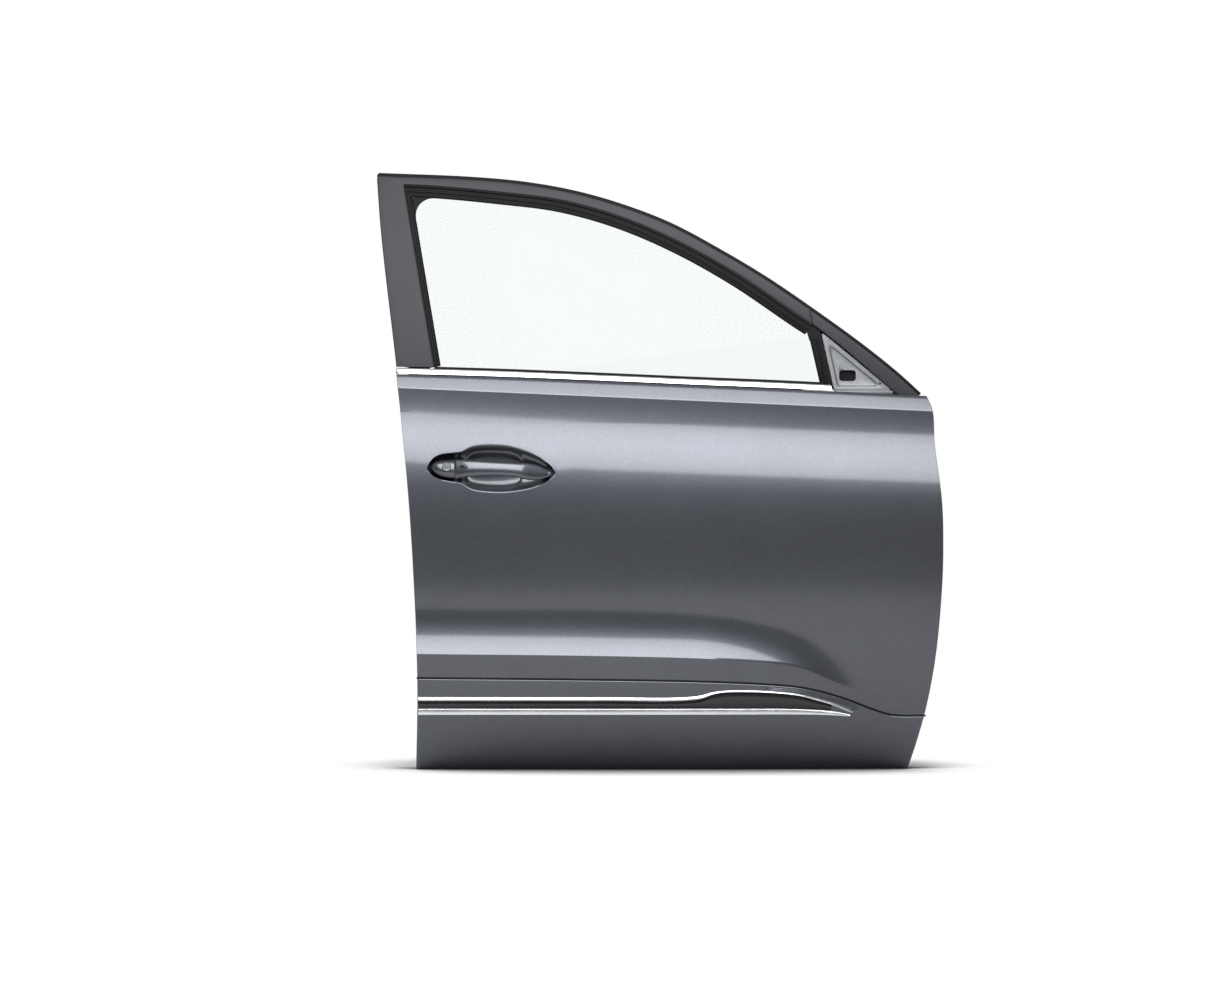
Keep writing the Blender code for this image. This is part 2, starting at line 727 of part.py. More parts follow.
rear_foot = [(rear_wall_x(z) + GAP, z) for z in (FOOT_BOTTOM, 0.79, 0.812)]
rear_foot += [(REAR_FOOT_FRONT, 0.812), (REAR_FOOT_FRONT, FOOT_BOTTOM)]
front_foot = [(FRONT_FOOT_REAR, FOOT_BOTTOM), (FRONT_WALL - GAP, FOOT_BOTTOM), (FRONT_WALL - GAP, 0.745)]
front_foot += [(0.488, 0.760), (FRONT_FOOT_REAR, 0.775)]
join(
    window_frame,
    depth_slab("rear_foot", rear_foot, *FOOT_DEPTH, None, cutters),
    depth_slab("front_foot", front_foot, *FOOT_DEPTH, None, cutters),
)


def make_window_glass():
    """Sheet of the cylinder between its two guided edges."""
    columns = 10
    rows = 11
    grid = [[] for _ in range(rows + 1)]
    for c in range(columns + 1):
        along = GLASS_REAR + (GLASS_FRONT - GLASS_REAR) * c / columns
        top = 1.0
        for _ in range(20):
            x = glass_line(along, top)
            slope = slope_at(HEADER_INNER, x)
            top = table_at(HEADER_INNER, x) - GLASS_EDGE_COVER * math.sqrt(1 + slope**2)
        for r in range(rows + 1):
            z = top + (GLASS_BOTTOM - top) * r / rows
            x = glass_line(along, z)
            grid[r].append(Vector((x, glass_y(x, z), z)))
    return sheet("window_glass", grid, GLASS_THICK, GLASS)


window_glass = make_window_glass()


# Front of the window: run strip, its guide channel, bare mirror bracket and rubber block

FRONT_RUN_TOP = 0.866
GUIDE_BOTTOM = 0.37
GUIDE_SHEET = 0.0012
GUIDE_WIDTH = 0.020
GUIDE_COVER = 0.012
MIRROR_CORNERS = ((0.3252, 0.8745), (0.352, 0.754), (0.472, 0.754))
MIRROR_DEPTH = -0.004
MIRROR_SHEET = 0.0015
MIRROR_STEP = 0.007
MIRROR_LIP = 0.013


def guide_channel(name, along, side, top, bottom, skin, thickness, reach, wall):
    """Channel open towards the glass, round one of its edges, that follows the glass down."""
    rings = []
    for k in range(13):
        z = top + (bottom - top) * k / 12
        ring = []
        outline = (
            (0.002, -0.0022), (0.002, -0.0022 - wall), (-reach, -0.0022 - wall),
            (-reach, thickness + 0.0022 + wall),
            (0.002, thickness + 0.0022 + wall), (0.002, thickness + 0.0022),
            (-reach + wall, thickness + 0.0022),
            (-reach + wall, -0.0022),
        )
        for across, depth in outline:
            x = glass_line(along, z) + (across + GUIDE_COVER) * side
            ring.append(Vector((x, glass_y(x, z) + depth, z)))
        rings.append(ring)
    return loft(name, rings, skin)


def front_run_x(z):
    return line_at([pair[::-1] for pair in OPENING_FRONT], z)


def make_front_glass_run():
    """Rubber strip that closes the front of the opening, with a groove down its length."""
    section = (
        (0.0, -2.2), (3.0, -3.4), (6.0, -7.0), (9.0, -7.4), (10.0, -5.0), (13.0, -5.0), (14.0, -8.0),
        (17.5, -8.0),
        (17.5, 8.5), (3.0, 8.5), (3.0, 4.9), (15.0, 4.9), (15.0, -0.9), (0.0, -0.9),
    )
    rings = []
    for k in range(9):
        z = FRONT_RUN_TOP - 0.010 + (0.757 - FRONT_RUN_TOP + 0.010) * k / 8
        start = front_run_x(z)
        rings.append([Vector((start + a * MM, glass_y(start + a * MM, z) + d * MM, z)) for a, d in section])
    return loft("front_glass_run", rings, RUBBER)


front_glass_run = make_front_glass_run()
front_glass_guide = guide_channel(
    "front_glass_guide", GLASS_FRONT, -1.0, 0.735, GUIDE_BOTTOM, ZINC, GLASS_THICK, GUIDE_WIDTH, GUIDE_SHEET)
rear_glass_guide = guide_channel(
    "rear_glass_guide", GLASS_REAR, 1.0, 0.735, GUIDE_BOTTOM, ZINC, GLASS_THICK, GUIDE_WIDTH, GUIDE_SHEET)

GUIDE_FEET = (0.385, 0.660)
GUIDE_FOOT_REACH = 0.062
GUIDE_FOOT_SHORT = 0.020
FOOT_HALF_THICK = 0.0012
FOOT_PAST_GUIDE = 0.004
FOOT_CLEARANCE = 0.0012


def guide_foot(along, z, reach):
    """Level plate from the back of a guide channel to the inner face, clear of the service hole's edge."""
    x = glass_line(along, z)
    back = glass_y(x, z) + GLASS_THICK + GUIDE_SHEET * 2
    left, right = x + reach, x + FOOT_PAST_GUIDE
    low, high = z - FOOT_HALF_THICK, z + FOOT_HALF_THICK
    arm_end = INNER_FACE_Y - HOLE_FLANGE - FOOT_CLEARANCE
    pad_right = right
    if left < SERVICE_HOLES[0][0] < right:
        pad_right = SERVICE_HOLES[0][0] - INNER_SHEET - FOOT_CLEARANCE
    arm = box("guide_foot", (left, back, low), (right, arm_end, high), None, cutters)
    pad = box(
        "guide_foot_pad", (left, arm_end - FOOT_CLEARANCE, low), (pad_right, INNER_FACE_Y - GAP, high),
        None, cutters)
    return arm, pad


for low_reach, guide, guide_along in (
    (-GUIDE_FOOT_REACH, rear_glass_guide, GLASS_REAR),
    (-GUIDE_FOOT_SHORT, front_glass_guide, GLASS_FRONT),
):
    low, high = GUIDE_FEET
    join(guide, *guide_foot(guide_along, low, low_reach), *guide_foot(guide_along, high, -GUIDE_FOOT_SHORT))


def mirror_face(x, z, back=0.0):
    """Point of the flat plane that the mirror bracket lies in."""
    corners = [Vector((cx, glass_y(cx, cz) + MIRROR_DEPTH, cz)) for cx, cz in MIRROR_CORNERS]
    normal = (corners[1] - corners[0]).cross(corners[2] - corners[0])
    y = corners[0].y - (normal.x * (x - corners[0].x) + normal.z * (z - corners[0].z)) / normal.y
    return Vector((x, y + back, z))


def shrink(corners, distance):
    """Moves the sides of a triangle inward."""
    corners = [Vector(corner) for corner in corners]
    sides = [(corners[(k + 1) % 3] - corners[k]).length for k in range(3)]
    centre = (corners[0] * sides[1] + corners[1] * sides[2] + corners[2] * sides[0]) / sum(sides)
    spread = (corners[1] - corners[0]).cross(corners[2] - corners[0])
    inner_radius = abs(spread) / sum(sides)
    return [tuple(centre + (corner - centre) * (1 - distance / inner_radius)) for corner in corners]


def make_mirror_bracket():
    """Pressed steel triangle that carries the outside mirror, with a sunk middle and a turned lower lip."""
    outer = rounded(MIRROR_CORNERS, 0.004)
    rim = rounded(shrink(MIRROR_CORNERS, 0.0085), 0.006)
    floor = rounded(shrink(MIRROR_CORNERS, 0.0115), 0.006)
    rings = [
        [mirror_face(x, z, MIRROR_LIP) for x, z in outer],
        [mirror_face(x, z) for x, z in outer],
        [mirror_face(x, z) for x, z in rim],
        [mirror_face(x, z, MIRROR_STEP) for x, z in floor],
    ]
    count = len(outer)
    points = [point for ring in rings for point in ring]
    faces = [tuple(3 * count + k for k in range(count))]
    for r in range(3):
        for c in range(count):
            a, b = r * count + c, r * count + (c + 1) % count
            faces.append((a, b, b + count, a + count))
    made = mesh_from("mirror_bracket", points, faces, BARE_STEEL)
    bm = bmesh.new()
    bm.from_mesh(made.data)
    bmesh.ops.recalc_face_normals(bm, faces=bm.faces)
    if sum(face.normal.y * face.calc_area() for face in bm.faces) > 0:
        bmesh.ops.reverse_faces(bm, faces=bm.faces)
    bm.to_mesh(made.data)
    bm.free()
    solid = made.modifiers.new("thickness", "SOLIDIFY")
    solid.thickness = MIRROR_SHEET
    solid.offset = -1.0
    return made


mirror_bracket = make_mirror_bracket()
MIRROR_SLOT = (0.379, 0.785, 0.034, 0.022)
slot_x, slot_z, slot_length, slot_height = MIRROR_SLOT
slot_middle = mirror_face(slot_x, slot_z, MIRROR_STEP)
cut(mirror_bracket, box(
    "mirror_slot_cutter",
    (slot_x - slot_length / 2, slot_middle.y - 0.01, slot_z - slot_height / 2),
    (slot_x + slot_length / 2, slot_middle.y + 0.01, slot_z + slot_height / 2), None, cutters))


# Trim on the outside face

def strip_rings(path, section, surface, gap=GAP):
    """Rings of a strip of trim along a path of (x, z, half width), section as (share of half width, lift)."""
    rings = []
    spots = [Vector(place[:2]) for place in path]
    for k, (x, z, half) in enumerate(path):
        along = (spots[min(k + 1, len(spots) - 1)] - spots[max(k - 1, 0)]).normalized()
        across = Vector((-along.y, along.x))
        ring = []
        for share, lift in section:
            spot = spots[k] + across * half * share
            ring.append(Vector((spot.x, surface(spot.x, spot.y) - gap - lift, spot.y)))
        rings.append(ring)
    return rings


CLADDING_THICK = 0.003
CLADDING_EDGE = 0.0012
CLADDING_SHARES = [0.003, *SKIN_SHARES[2:16:3], *SKIN_SHARES[16:-1], 0.997]


def cladding_y(x, z):
    """Y of the cladding's outside face."""
    return skin_y(x, z) - GAP - CLADDING_THICK


def make_cladding():
    rows = []
    for row in range(CLADDING_ROW, ROW_COUNT):
        rows.append([])
        for share in CLADDING_SHARES:
            x, z = skin_place(share, row)
            z += {CLADDING_ROW: -CLADDING_EDGE, ROW_COUNT - 1: CLADDING_EDGE}.get(row, 0.0)
            rows[-1].append(Vector((x, cladding_y(x, z), z)))
    return sheet("lower_cladding", rows, CLADDING_THICK - 0.0002, PAINT)


lower_cladding = make_cladding()

UPPER_CHROME = (
    (-0.477, 0.142, 4.0), (-0.30, 0.142, 4.0), (-0.10, 0.142, 4.0), (0.056, 0.142, 4.0), (0.086, 0.1445, 3.6),
    (0.108, 0.1515, 2.6), (0.134, 0.1555, 2.0), (0.178, 0.1560, 2.0), (0.234, 0.1535, 2.0),
    (0.284, 0.1475, 2.0),
    (0.316, 0.1390, 2.2), (0.346, 0.1305, 2.4), (0.372, 0.1200, 2.6), (0.388, 0.1130, 1.6),
)
LOWER_CHROME = (
    (-0.477, 0.1145, 6.3), (-0.30, 0.1145, 6.3), (-0.10, 0.1145, 6.3), (0.10, 0.1145, 6.3),
    (0.24, 0.1145, 6.0), (0.31, 0.1130, 5.0), (0.352, 0.1105, 4.0), (0.382, 0.1068, 2.2),
)
CHROME_SECTION = (
    (-1.0, 0.0), (-1.0, 0.0018), (-0.6, 0.0034), (0.0, 0.0040), (0.6, 0.0034), (1.0, 0.0018), (1.0, 0.0)
)
INSERT_GAP = 0.0012
INSERT_SECTION = ((-1.0, 0.0), (-1.0, 0.0012), (1.0, 0.0012), (1.0, 0.0))


def closer(path, spacing=0.04):
    """The same path with points no further apart than the spacing."""
    found = [path[0]]
    for before, after in zip(path, path[1:]):
        count = math.ceil((after[0] - before[0]) / spacing)
        step = (np.array(after) - np.array(before)) / count
        found += [tuple(np.array(before) + step * k) for k in range(1, count + 1)]
    return found


def trim_strip(name, path, section, skin, surface):
    return loft(name, strip_rings([(x, z, half * MM) for x, z, half in closer(path)], section, surface), skin)


def chrome_at(strip, x):
    """Height of a bright strip's middle line and its half width at x, in metres."""
    xs, heights, halves = np.array(strip).T
    return np.interp(x, xs, heights), np.interp(x, xs, halves) * MM


def insert_path():
    """Middle line and half width of the space between the two bright strips."""
    found = []
    for x in (-0.477, -0.30, -0.10, 0.056, 0.086, 0.108, 0.134, 0.178, 0.234, 0.284, 0.316, 0.345):
        upper_line, upper_half = chrome_at(UPPER_CHROME, x)
        lower_line, lower_half = chrome_at(LOWER_CHROME, x)
        upper = upper_line - upper_half - INSERT_GAP
        lower = lower_line + lower_half + INSERT_GAP
        found.append((x, (upper + lower) / 2, (upper - lower) / 2 / MM))
    return found


trim_upper_chrome = trim_strip("trim_upper_chrome", UPPER_CHROME, CHROME_SECTION, SATIN_CHROME, cladding_y)
trim_lower_chrome = trim_strip("trim_lower_chrome", LOWER_CHROME, CHROME_SECTION, SATIN_CHROME, cladding_y)
trim_insert = trim_strip("trim_insert", insert_path(), INSERT_SECTION, GLOSS_BLACK, cladding_y)


# Belt: outside moulding with its wiper, inside seal and the two stiffening rails

BELT_XS = tuple(np.linspace(-0.517, 0.346, 16))
BELT_RAIL_XS = tuple(np.linspace(-0.445, 0.425, 12))
BELT_RAIL_DROP = 0.060
BELT_RAIL_TOP = 0.004
BELT_RAIL_STAND = 0.020
OUTER_RAIL_SECTION = ((0.022, 0.0011), (0.034, 0.007), (0.068, 0.007), (0.080, 0.0018))


def belt_point(x, up, back):
    """Point measured up from the skin's upper edge and back from its outside face there."""
    z = table_at(BELT_LINE, x)
    return Vector((x, skin_y(x, z) + back, z + up))


def make_belt_moulding():
    """Bright moulding that stands on the skin's upper edge."""
    section = ((0.0010, -0.0010), (0.0125, 0.0030), (0.0132, 0.0050), (0.0120, 0.0065), (0.0010, 0.0065))
    return loft("belt_moulding", [[belt_point(x, up, back) for up, back in section] for x in BELT_XS], CHROME)


def make_belt_wiper_outer():
    """Rubber wiper between the moulding and the glass, clipped behind the skin's upper edge."""
    rings = []
    for x in BELT_XS[1:-1]:
        z = table_at(BELT_LINE, x)
        edge = skin_y(x, z)
        glass = glass_y(x, z) - edge - 0.0006
        section = (
            (-0.014, 0.0140), (-0.014, 0.0165), (-0.002, 0.0095), (0.004, glass), (0.006, glass),
            (0.0115, 0.0085), (0.0115, 0.0068), (0.0005, 0.0068), (-0.002, 0.0065),
        )
        rings.append([Vector((x, edge + back, z + up)) for up, back in section])
    return loft("belt_wiper_outer", rings, RUBBER)


belt_moulding = make_belt_moulding()
belt_wiper_outer = make_belt_wiper_outer()


def rail(name, xs, section, skin, thickness, inward=True):
    """Pressed rail along the belt: section as (height below the belt, y) worked out at each x."""
    rows = [[Vector((x, *section(x)[k][::-1])) for x in xs] for k in range(len(section(xs[0])))]
    return sheet(name, rows, thickness, skin, inward)


def inner_rail_section(x):
    z = table_at(BELT_LINE, x)
    face = INNER_FACE_Y - GAP * 2
    glass = glass_y(x, z)
    return tuple((z - down, y) for down, y in (
        (BELT_RAIL_DROP, face), (BELT_RAIL_TOP, face), (BELT_RAIL_TOP, glass + BELT_RAIL_STAND),
        (BELT_RAIL_DROP / 2, glass + BELT_RAIL_STAND),
        (BELT_RAIL_DROP * 0.75, glass + BELT_RAIL_STAND * 1.6)))


def outer_rail_section(x):
    z = table_at(BELT_LINE, x)
    return tuple((z - down, skin_y(x, z - down) + SKIN_SHEET + back) for down, back in OUTER_RAIL_SECTION)


belt_rail_inner = rail("belt_rail_inner", BELT_RAIL_XS, inner_rail_section, INNER_PAINT, 0.0012, inward=True)
belt_rail_outer = rail("belt_rail_outer", BELT_RAIL_XS, outer_rail_section, INNER_PAINT, 0.0010, inward=True)


def make_belt_seal_inner():
    rings = []
    for x in BELT_RAIL_XS[1:-2]:
        z = table_at(BELT_LINE, x)
        glass = glass_y(x, z) + GLASS_THICK
        section = (
            (-0.026, 0.0150), (-0.026, 0.0125), (-0.010, 0.0110), (-0.004, 0.0008), (0.000, 0.0008),
            (0.004, 0.0120), (0.004, 0.0220), (-0.0020, 0.0220), (-0.0020, 0.0150),
        )
        rings.append([Vector((x, glass + back, z + up)) for up, back in section])
    return loft("belt_seal_inner", rings, RUBBER)


belt_seal_inner = make_belt_seal_inner()


# Outside handle: pull grip, end cap, key lock and the carrier behind the skin

GRIP_XS = (-0.4035, -0.395, -0.376, -0.345, -0.31, -0.275, -0.255, -0.238, -0.2245, -0.217)
GRIP_MIDDLE = ((-0.4035, 0.5975), (-0.376, 0.5990), (-0.284, 0.5960), (-0.255, 0.5920), (-0.217, 0.5880))
GRIP_HALF_HEIGHT = (
    (-0.4035, 0.0192), (-0.376, 0.0170), (-0.31, 0.0142), (-0.284, 0.0142),
    (-0.26, 0.0165), (-0.235, 0.0135), (-0.217, 0.0050),
)
GRIP_STAND = (
    (-0.4035, 0.0165), (-0.376, 0.0235), (-0.31, 0.0300), (-0.275, 0.0270), (-0.245, 0.0170),
    (-0.217, 0.0065),
)
GRIP_THICK = (
    (-0.4035, 0.0150), (-0.376, 0.0160), (-0.31, 0.0150), (-0.275, 0.0145), (-0.245, 0.0125),
    (-0.217, 0.0050),
)
CAP_XS = (-0.4495, -0.446, -0.438, -0.425, -0.412, -0.4055)
CAP_MIDDLE = ((-0.4495, 0.6014), (-0.43, 0.5985), (-0.4055, 0.5975))
CAP_HALF_HEIGHT = ((-0.4495, 0.0050), (-0.446, 0.0095), (-0.438, 0.0140), (-0.425, 0.0172), (-0.4055, 0.0192))
CAP_STAND = ((-0.4495, 0.0070), (-0.438, 0.0115), (-0.4055, 0.0163))
ROUND_SIDES = 16
GRIP_PIVOT_X = -0.2275
GRIP_LEG_X = -0.391
LEG_HALF = (0.007, 0.006)
ARM_HALF = 0.006
PIVOT_RADIUS = 0.003
LOCK_X = -0.421
LOCK_Z = 0.6018
LOCK_HOLE = 0.0090
LOCK_LENGTH = 0.034
STEM_HALF = 0.0119


CARRIER_SPAN = (-0.444, -0.212)
CARRIER_HEIGHTS = (0.578, 0.621)
CARRIER_FOOT = 0.012
FOOT_GAP = 0.0015


def recess_y(x, z):
    """Y of the skin's outside face in the handle's recess."""
    return skin_y(x, z, recessed=True)


def base_y(x):
    """Y that the skin's outside face would have without the recess, along the handle."""
    return skin_y(x, table_at(RECESS_CENTRE_LINE, x))


def rounded_ring(x, y_front, y_back, z_middle, half_height, squareness=2.6):
    """A ring in the plane of x: flat-sided oval between two depths."""
    ring = []
    for k in range(ROUND_SIDES):
        angle = 2 * math.pi * (k + 0.5) / ROUND_SIDES
        c, s = math.cos(angle), math.sin(angle)
        u = math.copysign(abs(c) ** (2 / squareness), c)
        v = math.copysign(abs(s) ** (2 / squareness), s)
        ring.append(
            Vector((x, (y_front + y_back) / 2 + v * (y_back - y_front) / 2, z_middle + u * half_height)))
    return ring


def make_handle_grip():
    """Strap that stands off the recess, with a leg at its rear and a pivot arm at its front."""
    rings = []
    for x in GRIP_XS:
        front = base_y(x) - table_at(GRIP_STAND, x)
        back = front + table_at(GRIP_THICK, x)
        rings.append(rounded_ring(x, front, back, table_at(GRIP_MIDDLE, x), table_at(GRIP_HALF_HEIGHT, x)))
    grip = loft("handle_grip", rings, PAINT)
    leg_z = table_at(GRIP_MIDDLE, GRIP_LEG_X)
    leg_front = base_y(GRIP_LEG_X) - table_at(GRIP_STAND, GRIP_LEG_X) + 0.006
    leg = box(
        "grip_leg", (GRIP_LEG_X - LEG_HALF[0], leg_front, leg_z - LEG_HALF[1]),
        (GRIP_LEG_X + LEG_HALF[0], base_y(GRIP_LEG_X) + 0.040, leg_z + LEG_HALF[1]), None, cutters)
    arm_z = table_at(GRIP_MIDDLE, GRIP_PIVOT_X)
    arm_front = base_y(GRIP_PIVOT_X) - table_at(GRIP_STAND, GRIP_PIVOT_X) + 0.005
    arm = box(
        "grip_arm", (GRIP_PIVOT_X - ARM_HALF, arm_front, arm_z - ARM_HALF),
        (GRIP_PIVOT_X + ARM_HALF, GRIP_PIVOT_Y + 0.004, arm_z + ARM_HALF), None, cutters)
    pin = rod(
        "grip_pivot", (GRIP_PIVOT_X, GRIP_PIVOT_Y, arm_z - 0.011),
        (GRIP_PIVOT_X, GRIP_PIVOT_Y, arm_z + 0.011),
        PIVOT_RADIUS, None, cutters, 16)
    return join(grip, leg, arm, pin)


GRIP_PIVOT_Y = base_y(GRIP_PIVOT_X) + 0.021
CARRIER_Y = base_y(-0.32) + 0.033
handle_grip = make_handle_grip()


def make_handle_cap():
    """Fixed cap behind the grip, bored for the key lock."""
    rings = []
    for x in CAP_XS:
        front = base_y(x) - table_at(CAP_STAND, x)
        seat = recess_y(x, table_at(CAP_MIDDLE, x)) - 0.0055
        rings.append(rounded_ring(x, front, seat, table_at(CAP_MIDDLE, x), table_at(CAP_HALF_HEIGHT, x)))
    cap = loft("handle_cap", rings, PAINT)
    stem_y = recess_y(LOCK_X, LOCK_Z)
    stem = box(
        "cap_stem", (LOCK_X - STEM_HALF, stem_y - 0.0075, LOCK_Z - STEM_HALF),
        (LOCK_X + STEM_HALF, CARRIER_Y - GAP, LOCK_Z + STEM_HALF), None, cutters)
    bore = rod(
        "cap_bore", (LOCK_X, stem_y - 0.05, LOCK_Z), (LOCK_X, stem_y + 0.06, LOCK_Z), LOCK_HOLE, None,
        cutters)
    join(cap, stem)
    return cut(cap, bore)


handle_cap = make_handle_cap()
lock_front = base_y(LOCK_X) - table_at(CAP_STAND, LOCK_X) + 0.0012
lock_cylinder = rod(
    "lock_cylinder", (LOCK_X, lock_front, LOCK_Z), (LOCK_X, lock_front + LOCK_LENGTH, LOCK_Z),
    LOCK_HOLE - GAP, ZINC)
cut(lock_cylinder, box(
    "key_slot", (LOCK_X - 0.0045, lock_front - 0.002, LOCK_Z - 0.0008),
    (LOCK_X + 0.0045, lock_front + 0.006, LOCK_Z + 0.0008), None, cutters))

SKIN_CAP_HOLE = 0.0135
SKIN_LEG_HOLE = (0.0130, 0.0095)
SKIN_ARM_HOLE = (0.0110, 0.0090)


def hole_box(name, x, z, half_x, half_z):
    y = recess_y(x, z)
    return box(name, (x - half_x, y - 0.012, z - half_z), (x + half_x, y + 0.014, z + half_z), None, cutters)


LEG_HOLE_X = GRIP_LEG_X + 0.003
cut(
    outer_skin,
    hole_box("cap_hole", LOCK_X, LOCK_Z, SKIN_CAP_HOLE, SKIN_CAP_HOLE),
    hole_box("leg_hole", LEG_HOLE_X, table_at(GRIP_MIDDLE, GRIP_LEG_X), *SKIN_LEG_HOLE),
    hole_box("arm_hole", GRIP_PIVOT_X, table_at(GRIP_MIDDLE, GRIP_PIVOT_X), *SKIN_ARM_HOLE),
)


def make_handle_carrier():
    """Moulded carrier behind the skin: long plate with bearing cheeks for the grip, socket for the cap."""
    back = CARRIER_Y
    rear, front = CARRIER_SPAN
    low, high = CARRIER_HEIGHTS
    plate = box(
        "handle_carrier", (rear - CARRIER_FOOT, back, low), (front + CARRIER_FOOT, back + 0.004, high),
        BLACK_PLASTIC)
    bar_low, bar_high = low - CARRIER_FOOT, high + CARRIER_FOOT
    feet = []
    for left in (rear - CARRIER_FOOT, front + 0.003):
        right = left + CARRIER_FOOT - 0.003
        bar_start, bar_end = (left, back + 0.0005, bar_low), (right, back + 0.0045, bar_high)
        feet.append(box("carrier_bar", bar_start, bar_end, None, cutters))
        for foot_z in (bar_low, bar_high - CARRIER_FOOT / 2):
            top = foot_z + CARRIER_FOOT / 2
            outline = [(left, foot_z), (right, foot_z), (right, top), (left, top)]
            seat = [Vector((x, skin_y(x, z) + SKIN_SHEET + FOOT_GAP, z)) for x, z in outline]
            end = [Vector((x, back + 0.002, z)) for x, z in outline]
            feet.append(loft("carrier_foot", [seat, end], None, cutters))
    arm_z = table_at(GRIP_MIDDLE, GRIP_PIVOT_X)
    leg_z = table_at(GRIP_MIDDLE, GRIP_LEG_X)
    cheeks = [
        box(
            "cheek", (GRIP_PIVOT_X - 0.008, GRIP_PIVOT_Y - 0.004, z),
            (GRIP_PIVOT_X + 0.009, back + 0.002, z + 0.003), None, cutters)
        for z in (arm_z - 0.0095, arm_z + 0.0065)
    ]
    pin_hole = rod(
        "pin_hole", (GRIP_PIVOT_X, GRIP_PIVOT_Y, arm_z - 0.02), (GRIP_PIVOT_X, GRIP_PIVOT_Y, arm_z + 0.02),
        PIVOT_RADIUS + GAP, None, cutters, 16)
    leg_gap = box(
        "leg_gap", (GRIP_LEG_X - LEG_HALF[0] - 0.003, back - 0.01, leg_z - LEG_HALF[1] - 0.003),
        (GRIP_LEG_X + LEG_HALF[0] + 0.012, back + 0.02, leg_z + LEG_HALF[1] + 0.003), None, cutters)
    lock_gap = rod(
        "lock_gap", (LOCK_X, back - 0.02, LOCK_Z), (LOCK_X, back + 0.02, LOCK_Z), LOCK_HOLE + 0.001, None,
        cutters)
    arm_gap = box(
        "arm_gap", (GRIP_PIVOT_X - ARM_HALF * 2, back - 0.006, arm_z - ARM_HALF - 0.0005),
        (GRIP_PIVOT_X + ARM_HALF * 2, back + 0.006, arm_z + ARM_HALF + 0.0005), None, cutters)
    join(plate, *cheeks, *feet)
    return cut(plate, pin_hole, leg_gap, lock_gap, arm_gap)


handle_carrier = make_handle_carrier()


# Corner filler of the glass run

CORNER_RADIUS = 0.034
RUN_LIP = 0.0258


def make_corner_filler():
    corner_station = STATIONS[PILLAR_STATIONS]
    corner = corner_station.inside(RUN_LIP, 0.0, -PILLAR_RUN_SHIFT).xz
    down = -pillar_way().orthogonal().normalized()
    down = down if down.y < 0 else -down
    along = header_way(corner.x).orthogonal().normalized()
    along = along if along.x > 0 else -along
    half = down.angle(along) / 2
    reach = CORNER_RADIUS / math.tan(half)
    middle = corner + (down + along).normalized() * (CORNER_RADIUS / math.sin(half))
    first = corner + down * reach - middle
    last = corner + along * reach - middle
    start, end = math.atan2(first.y, first.x), math.atan2(last.y, last.x)
    end -= 2 * math.pi if end > start else 0.0
    outline = [tuple(corner)]
    for k in range(9):
        angle = start + (end - start) * k / 8
        outline.append(
            (middle.x + CORNER_RADIUS * math.cos(angle), middle.y + CORNER_RADIUS * math.sin(angle)))
    return depth_slab("run_corner_filler", outline, -0.0022, -0.0008, RUBBER)


run_corner_filler = make_corner_filler()


# Impact beam and its brackets, inside the skin

BEAM_RADIUS = 0.016
BEAM_WALL = 0.0025
BEAM_REAR = (-0.440, 0.365)
BEAM_FRONT = (0.480, 0.425)
BEAM_BACK = 0.024
BRACKET_SHEET = 0.0020
BRACKET_HALF = 0.034
BRACKET_REACH = 0.085


def beam_end(place):
    x, z = place
    return Vector((x, skin_y(x, z) + BEAM_BACK, z))


side_impact_beam = rod(
    "side_impact_beam", beam_end(BEAM_REAR), beam_end(BEAM_FRONT), BEAM_RADIUS, ZINC, sides=20)
beam_span = beam_end(BEAM_FRONT) - beam_end(BEAM_REAR)
cut(side_impact_beam, rod(
    "beam_bore", beam_end(BEAM_REAR) - beam_span * 0.05, beam_end(BEAM_FRONT) + beam_span * 0.05,
    BEAM_RADIUS - BEAM_WALL, None, cutters, 20))


def make_beam_bracket(name, wall_x, end, toward):
    """Bent plate from the shut wall to the back of the beam."""
    seat = beam_end(end).y + BEAM_RADIUS + GAP * 2
    tip = end[0] + toward * BRACKET_REACH * 0.6
    slope = beam_span.y / beam_span.x
    rows = []
    for z in (end[1] - BRACKET_HALF, end[1] - 0.01, end[1] + 0.01, end[1] + BRACKET_HALF):
        rows.append([
            Vector((wall_x, seat + 0.030, z)),
            Vector((wall_x, seat + 0.003, z)),
            Vector((wall_x + toward * 0.003, seat, z)),
            Vector((end[0], seat, z)), Vector((tip, seat + slope * (tip - end[0]), z)),
        ])
    return sheet(name, rows, BRACKET_SHEET, ZINC, inward=toward < 0)


beam_bracket_rear = make_beam_bracket("beam_bracket_rear", REAR_WALL + GAP, BEAM_REAR, 1)
beam_bracket_front = make_beam_bracket("beam_bracket_front", FRONT_WALL - GAP, BEAM_FRONT, -1)


# Hinge reinforcements on the front shut wall, with their bolt holes

HINGE_HEIGHTS = {"upper": 0.620, "lower": 0.260}
HINGE_Y = INNER_FACE_Y - 0.062
HINGE_PLATE = (0.0030, 0.036, 0.060)
HINGE_BOLT_RADIUS = 0.0055
HINGE_BOLT_SPACING = 0.044


def wall_box(name, inner_x, y, z, size, skin, group=None):
    thick, half_y, half_z = size
    return box(
        name, (inner_x - thick, y - half_y, z - half_z), (inner_x, y + half_y, z + half_z), skin, group)


